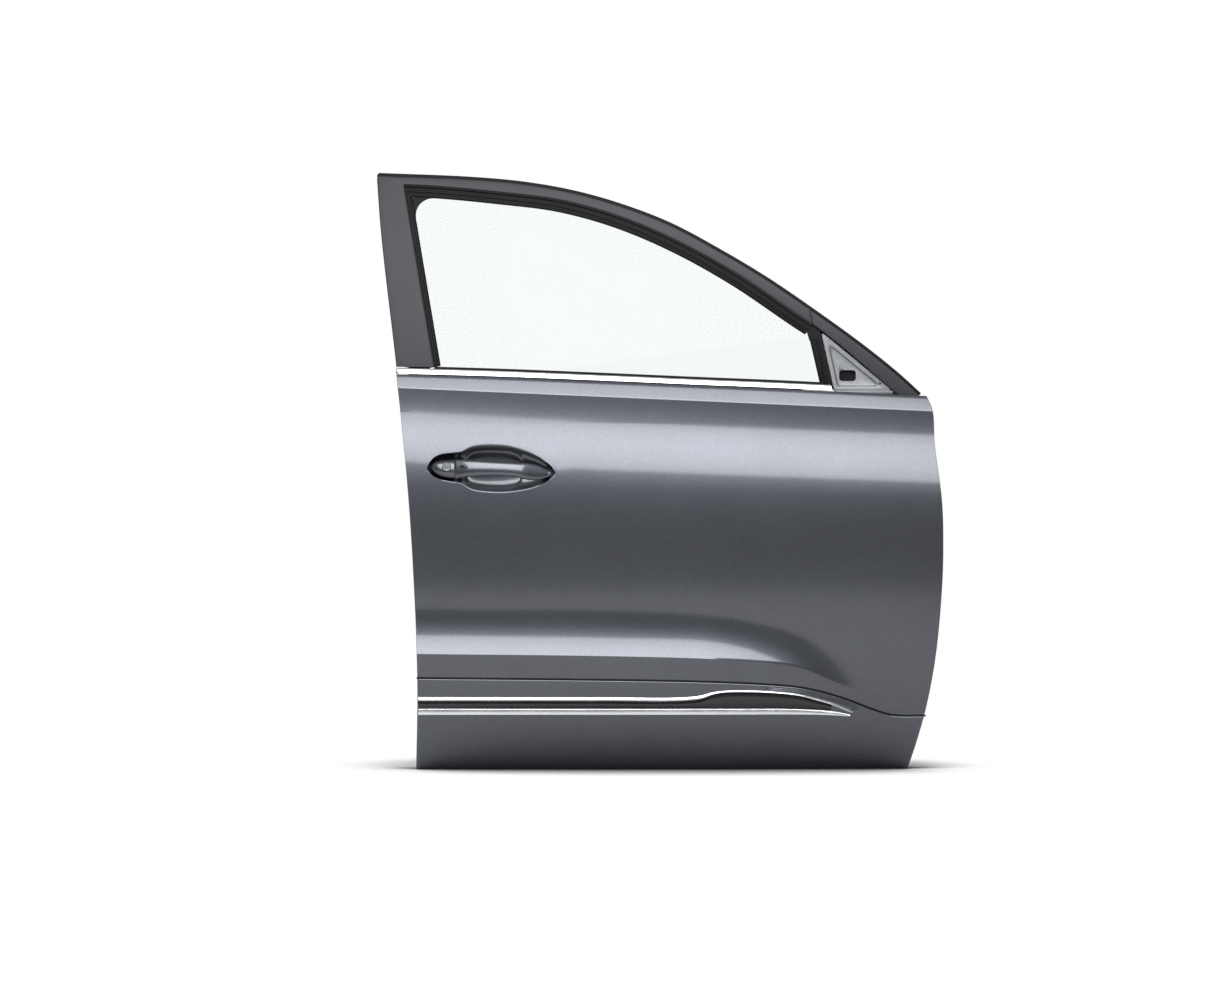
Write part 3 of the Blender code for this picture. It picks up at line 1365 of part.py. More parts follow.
hinge_bolt_cutters = []
for which, height in HINGE_HEIGHTS.items():
    plate = wall_box(f"hinge_reinforcement_{which}", FRONT_WALL - GAP, HINGE_Y, height, HINGE_PLATE, ZINC)
    for side in (-1, 1):
        y, z = HINGE_Y + side * 0.010, height + side * HINGE_BOLT_SPACING / 2
        nut = rod("weld_nut", (FRONT_WALL - 0.012, y, z), (FRONT_WALL - 0.002, y, z), 0.009, None, cutters, 6)
        bolt_hole = rod(
            "bolt_hole", (FRONT_WALL - 0.02, y, z), (FRONT_WALL + 0.02, y, z), HINGE_BOLT_RADIUS, None,
            cutters, 16)
        join(plate, nut)
        hinge_bolt_cutters.append((plate, bolt_hole))
for plate, bolt_hole in hinge_bolt_cutters:
    cut(plate, bolt_hole)


# Latch on the rear shut wall: housing, fork and the notch that the striker enters

LATCH_PIVOT = (-0.4520, INNER_FACE_Y - 0.040, 0.548)
LATCH_LOW = (REAR_WALL + GAP, INNER_FACE_Y - 0.071, 0.506)
LATCH_HIGH = (-0.4370, INNER_FACE_Y - 0.008, 0.582)
FORK_RADIUS = 0.024
FORK_THICK = 0.005
FORK_HOLE = 0.0044
FORK_SLOT_DROP = 0.014
FORK_SLOT_HALF = 0.0055
POCKET_MARGIN = 0.0015
STRIKER_HALF = 0.0085
striker_z = LATCH_PIVOT[2] - FORK_SLOT_DROP


def make_latch_fork():
    outline = [point for point in arc((0.0, 0.0), FORK_RADIUS, -36, 216, 22)]
    jaw = -FORK_SLOT_DROP - FORK_SLOT_HALF - 0.003
    outline += [(-0.007, jaw), (0.006, jaw), (0.010, jaw + 0.002)]
    place = frame_matrix(LATCH_PIVOT, (0, 1, 0), (0, 0, 1))
    fork = flat_plate(
        "latch_fork", outline, FORK_THICK, place, ZINC, holes=[arc((0, 0), FORK_HOLE, 0, 345, 24)])
    mouth = box(
        "fork_mouth", (LATCH_PIVOT[0] - 0.01, LATCH_PIVOT[1] - 0.006, striker_z - FORK_SLOT_HALF),
        (LATCH_PIVOT[0] + 0.01, LATCH_PIVOT[1] + 0.04, striker_z + FORK_SLOT_HALF), None, cutters)
    return cut(fork, mouth)


latch_fork = make_latch_fork()


def make_latch_housing():
    housing = box("latch_housing", LATCH_LOW, LATCH_HIGH, BLACK_PLASTIC)
    x, y, z = LATCH_PIVOT
    pocket_floor = x + FORK_THICK / 2 + 0.0004
    pocket = rod(
        "latch_pocket", (LATCH_LOW[0] - 0.01, y, z), (pocket_floor, y, z), FORK_RADIUS + POCKET_MARGIN,
        None, cutters, 32)
    mouth = box(
        "latch_mouth", (LATCH_LOW[0] - 0.01, y - 0.004, striker_z - STRIKER_HALF),
        (pocket_floor + 0.005, LATCH_HIGH[1] + 0.02, striker_z + STRIKER_HALF), None, cutters)
    stud = rod(
        "latch_stud", (x - FORK_THICK / 2 - 0.002, y, z), (pocket_floor + 0.003, y, z), FORK_HOLE - GAP,
        None, cutters, 24)
    cut(housing, pocket, mouth)
    return join(housing, stud)


latch_housing = make_latch_housing()


# Inner panel: stamped beads, flanged holes, clip holes and drain slots

SERVICE_CORNER = 0.030
SPEAKER = (0.330, 0.235, 0.080)
CHECK_SLOT = (0.440, 0.020, 0.011)
WIRING_HOLE = (0.520, 0.014)
INNER_HOLE_REACH = 0.02
BEAD_DEPTH = 0.0042
BEAD_SLOPE = 0.0026
BEADS = (
    ((-0.385, 0.640), (0.180, 0.640), (0.180, 0.664), (-0.385, 0.664)),
    ((-0.440, 0.100), (0.215, 0.100), (0.215, 0.128), (-0.440, 0.128)),
    ((-0.170, 0.400), (-0.120, 0.400), (-0.120, 0.590), (-0.170, 0.590)),
    ((0.045, 0.520), (0.090, 0.520), (0.090, 0.610), (0.045, 0.610)),
)
BEAD_CORNER = 0.010
CLIP_RADIUS = 0.0042
CLIP_HOLES = (
    (-0.435, 0.215), (-0.435, 0.430), (-0.432, 0.690), (-0.240, 0.200), (-0.200, 0.622), (-0.030, 0.690),
    (0.160, 0.220), (0.190, 0.380), (0.250, 0.690), (0.460, 0.150), (0.462, 0.360), (0.462, 0.660),
    (0.080, 0.078), (-0.300, 0.078),
)
DRAIN_XS = (-0.330, -0.020, 0.300)
DRAIN_HALF = (0.011, 0.0035)
DRAIN_BACK = 0.045
FACE_TRIM = 0.00003


def inner_cutter(name, outline, reach=INNER_HOLE_REACH):
    """Cutter through the inner face."""
    place = frame_matrix((0.0, INNER_FACE_Y, 0.0), (1, 0, 0), (0, 0, 1))
    return flat_plate(name, outline, reach, place, None, group=cutters)


def inset_outline(corners, radius, distance):
    """Rounded outline with its sides moved inward by a distance."""
    middle = sum((Vector(corner) for corner in corners), Vector((0.0, 0.0))) / len(corners)
    moved = []
    for corner in corners:
        moved.append(tuple(c + distance * math.copysign(1.0, m - c) for c, m in zip(corner, middle)))
    return rounded(moved, radius - distance)


def bead(name, corners):
    """Solid block for a pressed channel in the inner face, and the cutter that hollows it."""
    solids = []
    for label, grow, front, back in (
        ("block", INNER_SHEET, 0.0004, -BEAD_DEPTH - INNER_SHEET),
        ("channel", 0.0, INNER_SHEET + 0.004, -BEAD_DEPTH),
    ):
        wide = inset_outline(corners, BEAD_CORNER, -grow)
        narrow = inset_outline(corners, BEAD_CORNER, BEAD_SLOPE - grow)
        rings = [[Vector((x, INNER_FACE_Y + front, z)) for x, z in wide]]
        if label == "channel":
            rings.append([Vector((x, INNER_FACE_Y + INNER_SHEET, z)) for x, z in wide])
        rings.append([Vector((x, INNER_FACE_Y + back, z)) for x, z in narrow])
        solids.append(loft(f"{name}_{label}", rings, None, cutters))
    return solids


def flange_block(name, outline):
    """Ring of metal turned inward round a hole, before the hole is cut through it."""
    rings = [[Vector((x, INNER_FACE_Y + y, z)) for x, z in outline] for y in (0.0004, -HOLE_FLANGE)]
    return loft(name, rings, None, cutters)


def press(tool, operation="DIFFERENCE"):
    modify(inner_panel, tool, operation, "MANIFOLD")


press(box(
    "face_trim", (REAR_WALL - 0.1, INNER_FACE_Y + INNER_SHEET - FACE_TRIM, -0.01),
    (FRONT_WALL + 0.1, INNER_FACE_Y + 0.05, table_at(BELT_LINE, REAR_WALL) + 0.05), None, cutters))
for k, corners in enumerate(BEADS):
    block, channel = bead(f"bead_{k}", corners)
    press(block, "UNION")
    press(channel)
for k, (left, right, low, high) in enumerate(SERVICE_HOLES):
    corners = ((left, low), (right, low), (right, high), (left, high))
    press(flange_block(f"service_flange_{k}", inset_outline(corners, SERVICE_CORNER, -INNER_SHEET)), "UNION")
    press(inner_cutter(f"service_hole_{k}", rounded(corners, SERVICE_CORNER)))
speaker_x, speaker_z, speaker_radius = SPEAKER
press(
    flange_block("speaker_flange", arc((speaker_x, speaker_z), speaker_radius + INNER_SHEET, 0, 350, 36)),
    "UNION")
press(inner_cutter("speaker_hole", arc((speaker_x, speaker_z), speaker_radius, 0, 350, 36)))
for k, (x, z) in enumerate(CLIP_HOLES):
    press(inner_cutter(f"clip_hole_{k}", arc((x, z), CLIP_RADIUS, 0, 330, 12), INNER_SHEET * 5))
for k, x in enumerate(DRAIN_XS):
    half_x, half_y = DRAIN_HALF
    drain_y = INNER_FACE_Y - DRAIN_BACK
    press(box(
        f"drain_slot_{k}", (x - half_x, drain_y - half_y, BOTTOM_WALL - 0.01),
        (x + half_x, drain_y + half_y, BOTTOM_WALL + 0.01), None, cutters))
for _, bolt_hole in hinge_bolt_cutters:
    press(bolt_hole)
check_z, check_half_z, check_half_y = CHECK_SLOT
wiring_z, wiring_radius = WIRING_HOLE
wall_in, wall_out = FRONT_WALL - 0.01, FRONT_WALL + 0.01
press(box(
    "check_slot", (wall_in, HINGE_Y - check_half_y, check_z - check_half_z),
    (wall_out, HINGE_Y + check_half_y, check_z + check_half_z), None, cutters))
press(
    rod(
        "wiring_hole", (wall_in, HINGE_Y, wiring_z), (wall_out, HINGE_Y, wiring_z), wiring_radius, None,
        cutters))
press(box(
    "striker_notch", (REAR_WALL - 0.02, LATCH_PIVOT[1] - 0.004, striker_z - STRIKER_HALF),
    (REAR_WALL + 0.018, INNER_FACE_Y + 0.02, striker_z + STRIKER_HALF), None, cutters))


# Window lift: two curved rails, a clamp on the glass for each, the drum, the motor and the cables

RAIL_XS = {"rear": -0.215, "front": 0.125}
RAIL_TOP = 0.700
RAIL_BOTTOM = 0.335
CABLE_END = 0.020
RAIL_SECTION = (
    (-12.0, 21.0), (-12.0, 15.0), (12.0, 15.0), (12.0, 21.0), (10.4, 21.0), (10.4, 16.6), (-10.4, 16.6),
    (-10.4, 21.0),
)
CLAMP_HALF = 0.022
CLAMP_SPAN = (0.684, 0.722)
CLAMP_OUT = -0.0045
CLAMP_IN = 0.0142
DRUM_PLACE = (-0.015, 0.455)
DRUM_RADIUS = 0.036
DRUM_DEPTH = 0.015
MOTOR_RADIUS = 0.019
MOTOR_LENGTH = 0.105


def rail_point(along, z, across, depth):
    x = glass_line(along, z) + across
    return Vector((x, glass_y(x, z) + depth, z))


def clamp_block(name, along, span, outer, inner, half, skin, group=None):
    rings = []
    for z in np.linspace(*span, 4):
        corners = ((-half, outer), (half, outer), (half, inner), (-half, inner))
        rings.append([rail_point(along, z, a, d) for a, d in corners])
    return loft(name, rings, skin, group)


rail_ends = {}
for which, rail_x in RAIL_XS.items():
    along = along_of(rail_x, RAIL_TOP)
    rings = []
    for z in np.linspace(RAIL_TOP, RAIL_BOTTOM, 12):
        rings.append([rail_point(along, z, a * MM, d * MM) for a, d in RAIL_SECTION])
    lift_rail = loft(f"regulator_rail_{which}", rings, ZINC)
    for place, z in (("top", RAIL_TOP - 0.012), ("bottom", RAIL_BOTTOM + 0.012)):
        back = rail_point(along, z, 0.0, RAIL_SECTION[2][1] * MM + 0.0008)
        face = INNER_FACE_Y - GAP
        arm = box(
            "rail_arm", (back.x - 0.0085, back.y, z - 0.0012), (back.x + 0.0085, face, z + 0.0012), None,
            cutters)
        pad = box(
            "rail_pad", (back.x - 0.0125, face - 0.0025, z - 0.014), (back.x + 0.0125, face, z + 0.014),
            None, cutters)
        join(lift_rail, arm, pad)
        rail_ends[which, place] = rail_point(
            along, z + (CABLE_END if place == "top" else -CABLE_END), 0.0, 0.0185)
    clamp = clamp_block(
        f"glass_clamp_{which}", along, CLAMP_SPAN, CLAMP_OUT, CLAMP_IN, CLAMP_HALF, BLACK_PLASTIC)
    slot = clamp_block(
        "clamp_slot", along, (GLASS_BOTTOM - 0.0012, CLAMP_SPAN[1] + 0.01), -0.0004, GLASS_THICK + 0.0004,
        CLAMP_HALF * 1.4, None, cutters)
    cut(clamp, slot)

drum_x, drum_z = DRUM_PLACE
drum_back = INNER_FACE_Y - GAP
drum_front = drum_back - DRUM_DEPTH
drum_housing = rod(
    "drum_housing", (drum_x, drum_front, drum_z), (drum_x, drum_back, drum_z), DRUM_RADIUS, BLACK_PLASTIC,
    sides=32)
for side in (-1, 1):
    lug_z = drum_z + side * DRUM_RADIUS
    lug = box(
        "drum_lug", (drum_x - 0.009, drum_back - 0.005, lug_z - 0.011),
        (drum_x + 0.009, drum_back, lug_z + 0.011),
        None, cutters)
    join(drum_housing, lug)
motor_y = drum_front - GAP - MOTOR_RADIUS
motor_start = Vector((drum_x - 0.012, motor_y, drum_z - 0.02))
regulator_motor = rod(
    "regulator_motor", motor_start, motor_start + Vector((MOTOR_LENGTH, 0, 0)), MOTOR_RADIUS, ZINC)
gearbox = box(
    "gearbox", (drum_x - 0.030, motor_y - 0.014, drum_z - 0.034),
    (drum_x + 0.022, motor_y + MOTOR_RADIUS, drum_z + 0.024),
    None, cutters, 0.002)
join(regulator_motor, gearbox)

CABLE_RADIUS = 0.0022
CABLE_CLEARANCE = 0.0012
cable_back = INNER_FACE_Y - max(BEAD_DEPTH + INNER_SHEET, HOLE_FLANGE) - CABLE_CLEARANCE - CABLE_RADIUS


def cable(name, start, start_way, end, end_way):
    """Sheathed cable on one smooth curve between two ends, leaving each in its own direction."""
    start, end = Vector(start), Vector(end)
    reach = (end - start).length * 0.45
    first, last = start + Vector(start_way) * reach, end + Vector(end_way) * reach
    points = []
    for k in range(15):
        t = k / 14
        point = start * (1 - t) ** 3 + first * 3 * t * (1 - t) ** 2 + last * 3 * t * t * (1 - t) + end * t**3
        point.y = min(point.y, cable_back)
        points.append(point)
    return tube(name, points, CABLE_RADIUS, BLACK_PLASTIC, 1)


drum_side = drum_back - DRUM_DEPTH / 2


def drum_exit(side, up):
    """Place on the drum housing's rim where a cable leaves it."""
    return drum_x + side * (math.sqrt(DRUM_RADIUS**2 - up**2) + CABLE_RADIUS * 0.65), drum_side, drum_z + up


cable(
    "lift_cable_rear_top", drum_exit(-1, 0.012), (-0.6, 0, 0.5), rail_ends["rear", "top"], (0.35, 0.1, 0.15))
cable(
    "lift_cable_front_top", drum_exit(1, 0.006), (0.6, 0, 0.5), rail_ends["front", "top"],
    (-0.35, 0.1, 0.15))
cable(
    "lift_cable_rear_bottom", drum_exit(-1, -0.006), (-0.6, 0, -0.5), rail_ends["rear", "bottom"],
    (0, 0.2, -0.9))
cable(
    "lift_cable_front_bottom", drum_exit(1, -0.012), (0.6, 0, -0.5), rail_ends["front", "bottom"],
    (0, 0.2, -0.9))


# Stud that stands in the mirror bracket

STUD_RADIUS = 0.0030
stud_place = mirror_face(0.3655, 0.8010, MIRROR_STEP)
stud_out = Vector((0, -0.012, 0))
mirror_stud = rod("mirror_stud", stud_place + stud_out, stud_place - stud_out, STUD_RADIUS, ZINC, sides=16)
stud_hole = rod(
    "mirror_stud_hole", stud_place + stud_out * 2, stud_place - stud_out * 2, STUD_RADIUS + GAP, None,
    cutters, 16)
cut(mirror_bracket, stud_hole)


# Weatherstrip round the inside edge of the door and of the window frame

WEATHER_RADIUS = 0.0055
WEATHER_INSET = 0.017
WEATHER_FRAME_GAP = 0.0014
WEATHER_FRAME_DEPTH = SASH_SECTION[-1][1] * MM + WEATHER_RADIUS + WEATHER_FRAME_GAP
WEATHER_BLEND = (0.81, 0.96)
WEATHER_ACROSS = -0.004


def make_weatherstrip():
    panel_y = INNER_FACE_Y + INNER_SHEET + GAP + WEATHER_RADIUS
    rear, front, low = REAR_WALL + WEATHER_INSET, FRONT_WALL - WEATHER_INSET, BOTTOM_WALL + WEATHER_INSET
    bend = WALL_CORNER - 0.010
    path = [(line_at(REAR_WALL_TOP, z) + WEATHER_INSET, z) for z in (0.74, 0.68)]
    path += [(rear, 0.60), (rear, 0.20)]
    path += arc((rear + bend, low + bend), bend, 180, 270, 5)
    path += arc((front - bend, low + bend), bend, -90, 0, 5)
    path += [(front, 0.20), (front, 0.60), (front, 0.70)]
    points = [Vector((x, panel_y, z)) for x, z in path]
    spots = [station.inside(WEATHER_ACROSS, WEATHER_FRAME_DEPTH, -PILLAR_RUN_SHIFT) for station in STATIONS]
    before, corner, after = spots[PILLAR_STATIONS + 1], spots[PILLAR_STATIONS], spots[PILLAR_STATIONS - 1]
    bend_spots = [before * (1 - t) ** 2 + corner * 2 * t * (1 - t) + after * t**2 for t in (0.25, 0.5, 0.75)]
    for spot in (*spots[-3:PILLAR_STATIONS:-1], *bend_spots, *spots[PILLAR_STATIONS - 1:0:-3], spots[0]):
        share = fade(spot.z, *WEATHER_BLEND)
        points.append(Vector((spot.x, panel_y + (spot.y - panel_y) * share, spot.z)))
    ring = tube("door_weatherstrip", points, WEATHER_RADIUS, RUBBER, 1)
    ring.data.splines[0].use_cyclic_u = True
    ring.data.use_fill_caps = False
    return ring


door_weatherstrip = make_weatherstrip()
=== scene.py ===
"""Looks of a right-hand front car door: metallic paint, chrome, glass, rubber and bare steel over its solids.

Metres, +Z up. The outside face looks to -Y and the front of the car is at +X. The forms repeat the part's own
curves at a finer spacing, with a few small changes, so the visible pieces lie on their solids or close to them.
"""
import math

import bmesh
import bpy
import numpy as np
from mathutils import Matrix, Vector


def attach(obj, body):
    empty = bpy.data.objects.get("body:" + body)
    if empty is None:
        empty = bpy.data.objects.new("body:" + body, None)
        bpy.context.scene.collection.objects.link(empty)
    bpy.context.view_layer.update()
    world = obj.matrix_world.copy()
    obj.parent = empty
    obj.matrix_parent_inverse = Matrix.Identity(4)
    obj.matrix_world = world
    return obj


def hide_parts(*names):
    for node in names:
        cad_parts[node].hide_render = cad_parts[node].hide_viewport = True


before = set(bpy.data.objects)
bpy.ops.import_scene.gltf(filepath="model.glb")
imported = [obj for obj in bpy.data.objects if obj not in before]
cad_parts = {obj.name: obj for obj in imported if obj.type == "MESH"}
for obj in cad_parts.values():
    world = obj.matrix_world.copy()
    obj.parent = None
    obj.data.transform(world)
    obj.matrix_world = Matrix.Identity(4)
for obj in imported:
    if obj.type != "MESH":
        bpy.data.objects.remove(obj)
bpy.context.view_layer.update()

MM = 0.001
GAP = 0.0003

# Camera as in the photograph: level, square on and far off

CAMERA_PLACE = (-0.089, -14.02, 0.536)
CAMERA_LENS = 205.3


def placed(name, data):
    """A new object with this data, linked into the scene."""
    obj = bpy.data.objects.new(name, data)
    bpy.context.scene.collection.objects.link(obj)
    return obj


camera = placed("camera", bpy.data.cameras.new("camera"))
camera.data.lens = CAMERA_LENS
camera.data.sensor_width = 36.0
camera.location = CAMERA_PLACE
camera.rotation_euler = (math.radians(90), 0.0, 0.0)
bpy.context.scene.camera = camera

# Curves of the door, as in the part

CREASE_Y = -0.0735
REAR_EDGE = (
    (0.0, -0.482), (0.15, -0.479), (0.36, -0.486), (0.55, -0.498), (0.8, -0.524), (1.08, -0.558),
    (1.19, -0.5675)
)
FRONT_EDGE = (
    (0.0, 0.498), (0.048, 0.514), (0.12, 0.534), (0.216, 0.552), (0.336, 0.564), (0.44, 0.568), (0.528, 0.566),
    (0.648, 0.552), (0.72, 0.547), (0.745, 0.536),
)
ROOF_EDGE = (
    (-0.566, 1.196), (-0.356, 1.186), (-0.26, 1.176), (-0.164, 1.158), (-0.068, 1.13), (0.028, 1.092),
    (0.124, 1.04), (0.22, 0.982), (0.316, 0.916), (0.412, 0.846), (0.484, 0.788), (0.532, 0.744),
)
BELT_LINE = (
    (-0.522, 0.787), (-0.316, 0.781), (-0.116, 0.773), (0.084, 0.7644), (0.244, 0.758), (0.348, 0.753),
    (0.536, 0.744)
)
SKIN_LEAN = (
    (0.0, -9.0), (0.1, -7.0), (0.18, -4.5), (0.232, -4.5), (0.33, -3.5), (0.4, -1.5), (0.45, 0.0), (0.512, 2.0),
    (0.56, 4.5), (0.592, 8.0), (0.624, 12.5), (0.648, 15.0), (0.672, 12.5), (0.704, 6.0), (0.7436, 2.0),
    (0.7464, 31.0), (0.8, 33.0),
)
CREASE_HEIGHT = 0.745
CREASE_LINE = ((-0.466, 0.758), (0.524, 0.715))
CREASE_FADE = (0.35, 0.7)
BOW_RADIUS = 10.0
BOW_CENTRE = -0.1
LEDGE_RISE = 0.0225
LEDGE_LOWER = (
    (-0.48, 0.23), (-0.116, 0.226), (0.084, 0.221), (0.204, 0.214), (0.284, 0.202), (0.364, 0.168),
    (0.424, 0.148), (0.56, 0.14),
)
LEDGE_UPPER = (
    (-0.48, 0.324), (0.084, 0.312), (0.204, 0.296), (0.284, 0.276), (0.364, 0.238), (0.404, 0.208),
    (0.45, 0.172), (0.56, 0.165),
)
LEDGE_FADE = (0.05, 0.47)
CLADDING_LINE = (
    (-0.48, 0.182), (-0.116, 0.1786), (0.084, 0.175), (0.204, 0.17), (0.284, 0.163), (0.334, 0.152),
    (0.384, 0.136), (0.424, 0.1206), (0.464, 0.108), (0.53, 0.106),
)
RECESS_RIM = (
    (-0.4585, 0.603, 0.595), (-0.456, 0.609, 0.5912), (-0.45, 0.617, 0.5854), (-0.442, 0.623, 0.5808),
    (-0.432, 0.627, 0.577), (-0.4186, 0.6288, 0.5744), (-0.406, 0.63, 0.5724), (-0.392, 0.6314, 0.5704),
    (-0.384, 0.635, 0.5654), (-0.3746, 0.6394, 0.5598), (-0.364, 0.6422, 0.5564), (-0.352, 0.6438, 0.5544),
    (-0.338, 0.6444, 0.553), (-0.323, 0.644, 0.5524), (-0.304, 0.6426, 0.5526), (-0.286, 0.639, 0.5544),
    (-0.266, 0.633, 0.5576), (-0.25, 0.627, 0.5616), (-0.236, 0.6204, 0.5664), (-0.224, 0.612, 0.5718),
    (-0.216, 0.606, 0.5774), (-0.21, 0.599, 0.5822), (-0.2065, 0.592, 0.587),
)
RECESS_SPAN = (RECESS_RIM[0][0], RECESS_RIM[-1][0])
RECESS_MOST_HALF = 0.047
RECESS_LEAST_SHARE = 0.15
RIM_ROUND = 0.15
POCKET_MIDDLE = (-0.328, 0.599)
POCKET_HALF = (0.06, 0.041)
POCKET_FADE = (0.55, 1.0)
POCKET_EXTRA = 0.003
RECESS_DEPTH = 0.019
GLASS_RADIUS = 1.45
GLASS_THICK = 0.004
GLASS_INSET = 0.05
BELT_TILT = math.radians(4.0)
BELT_MIDDLE = 0.77
RUN_LEAN = math.radians(9.55)
TAPER = math.radians(1.0)
GLASS_BOTTOM = 0.705
GLASS_EDGE_COVER = 0.0125
SEAL_WIDTH = 0.006
HEADER_INNER = (
    (-0.5125, 1.1725), (-0.436, 1.168), (-0.316, 1.156), (-0.196, 1.14), (-0.076, 1.106), (0.044, 1.054),
    (0.164, 0.986), (0.284, 0.904), (0.3212, 0.8794), (0.48, 0.747),
)
PILLAR_INNER = ((-0.4484, 0.802), (-0.5125, 1.1725))
PILLAR_RUN_SHIFT = 0.0115
PILLAR_EDGE = 0.001
COVER_SEAM = 0.305
SEAM_LEAN = 0.019
SEAM_LEAN_REACH = 0.07
OPENING_FRONT = ((0.3014, 0.866), (0.3232, 0.7706))
FRONT_RUN_HOLD = 0.007


def curve_through(table):
    """Smooth curve through pairs; it takes one place or an array of them."""
    knots, values = np.array(table, dtype=float).T
    steps = np.diff(values) / np.diff(knots)
    tangents = np.concatenate([[steps[0]], (steps[:-1] + steps[1:]) / 2, [steps[-1]]])
    turning = np.concatenate([[False], steps[:-1] * steps[1:] <= 0, [False]])
    tangents[turning] = 0.0

    def at(t):
        t = np.asarray(t, dtype=float)
        inside = np.clip(t, knots[0], knots[-1])
        k = np.clip(np.searchsorted(knots, inside) - 1, 0, len(knots) - 2)
        width = knots[k + 1] - knots[k]
        f = (inside - knots[k]) / width
        value = (
            (2 * f**3 - 3 * f**2 + 1) * values[k]
            + (f**3 - 2 * f**2 + f) * width * tangents[k]
            + (3 * f**2 - 2 * f**3) * values[k + 1]
            + (f**3 - f**2) * width * tangents[k + 1]
        )
        return value + np.where(t < knots[0], tangents[0], tangents[-1]) * (t - inside)

    return at


rear_edge = curve_through(REAR_EDGE)
front_edge = curve_through(FRONT_EDGE)
roof_edge = curve_through(ROOF_EDGE)
belt_line = curve_through(BELT_LINE)
ledge_lower = curve_through(LEDGE_LOWER)
ledge_upper = curve_through(LEDGE_UPPER)
cladding_line = curve_through(CLADDING_LINE)
recess_centre = curve_through([(x, (top + bottom) / 2) for x, top, bottom in RECESS_RIM])
recess_half = curve_through([(x, (top - bottom) / 2) for x, top, bottom in RECESS_RIM])
header_inner = curve_through(HEADER_INNER)


def line_at(line, t):
    (t0, v0), (t1, v1) = line
    return v0 + (v1 - v0) * (t - t0) / (t1 - t0)


def fade(t, start, end):
    """0 before start, 1 after end, smooth between them."""
    f = np.clip((t - start) / (end - start), 0.0, 1.0)
    return f * f * (3 - 2 * f)


def outward_table():
    heights, leans = np.array(SKIN_LEAN).T
    fine = np.arange(heights[0], heights[-1], MM / 4)
    slopes = np.tan(np.radians(np.interp(fine, heights, leans)))
    outward = np.concatenate([[0.0], -np.cumsum((slopes[1:] + slopes[:-1]) / 2 * np.diff(fine))])
    return fine, outward - np.interp(CREASE_HEIGHT, fine, outward)


SECTION_HEIGHTS, SECTION_OUTWARD = outward_table()


def recess_depth(x, z):
    """Depth of the handle's recess: rolled over at its rim, with a pocket for the fingers at its middle."""
    half = np.maximum(recess_half(x), MM / 2)
    drop = 1 - (np.abs(z - recess_centre(x)) / half) ** 3
    rounded = np.where(drop > RIM_ROUND, drop, np.maximum(drop + RIM_ROUND, 0.0) ** 2 / (4 * RIM_ROUND))
    share = rounded * np.minimum(1.0, half / RECESS_MOST_HALF + RECESS_LEAST_SHARE)
    oval = sum(((place - middle) / reach) ** 4 for place, middle, reach in zip((x, z), POCKET_MIDDLE, POCKET_HALF))
    depth = RECESS_DEPTH * share + POCKET_EXTRA * (1 - fade(oval, *POCKET_FADE))
    return np.where((x > RECESS_SPAN[0]) & (x < RECESS_SPAN[1]), depth, 0.0)


def skin_y(x, z, recessed=False):
    """Y of the skin's outside face."""
    x, z = np.asarray(x, dtype=float), np.asarray(z, dtype=float)
    level = z + (CREASE_HEIGHT - line_at(CREASE_LINE, x)) * fade(z, *CREASE_FADE)
    outward = np.interp(level, SECTION_HEIGHTS, SECTION_OUTWARD)
    outward = outward - (x - BOW_CENTRE) ** 2 / (2 * BOW_RADIUS)
    climb = np.clip((ledge_upper(x) - z) / (ledge_upper(x) - ledge_lower(x)), 0.0, 1.0)
    outward = outward + LEDGE_RISE * (1 - fade(x, *LEDGE_FADE)) * climb**2
    if recessed:
        outward = outward - recess_depth(x, z)
    return CREASE_Y - outward


AXIS = Vector((math.cos(RUN_LEAN) * math.cos(TAPER), math.sin(TAPER), math.sin(RUN_LEAN) * math.cos(TAPER)))
AXIS_Z = BELT_MIDDLE - GLASS_RADIUS * math.sin(BELT_TILT) / math.cos(RUN_LEAN)


def glass_offset(x, z):
    run = (z - AXIS_Z) * math.cos(RUN_LEAN) - x * math.sin(RUN_LEAN)
    along = x * math.cos(RUN_LEAN) + (z - AXIS_Z) * math.sin(RUN_LEAN)
    return (along * math.sin(TAPER) - np.sqrt(GLASS_RADIUS**2 - run**2)) / math.cos(TAPER)


AXIS_POINT = Vector((0.0, CREASE_Y + GLASS_INSET - float(glass_offset(0.0, BELT_MIDDLE)), AXIS_Z))


def glass_y(x, z):
    return AXIS_POINT.y + glass_offset(x, z)


def on_glass(x, z, depth):
    """Point at a depth, in mm, behind the glass's outside face."""
    return (x, float(glass_y(x, z)) + depth * MM, z)


def glass_line(along, z):
    """Position x, at height z, of the line that a point of the glass follows as it moves."""
    x = 0.0
    for _ in range(12):
        point = Vector((x, float(glass_y(x, z)), z)) - AXIS_POINT
        x += (along - point.dot(AXIS)) / AXIS.x
    return x


def along_of(x, z):
    return (Vector((x, float(glass_y(x, z)), z)) - AXIS_POINT).dot(AXIS)


GLASS_REAR = along_of(PILLAR_INNER[0][0] + GLASS_EDGE_COVER - PILLAR_RUN_SHIFT, PILLAR_INNER[0][1])
GLASS_FRONT = along_of(OPENING_FRONT[1][0] + FRONT_RUN_HOLD, OPENING_FRONT[1][1])


# Materials

def linear(hex_colour):
    """Linear values of an sRGB hex colour."""
    found = []
    for k in (0, 2, 4):
        c = int(hex_colour[k:k + 2], 16) / 255
        found.append(c / 12.92 if c <= 0.04045 else ((c + 0.055) / 1.055) ** 2.4)
    return (*found, 1.0)


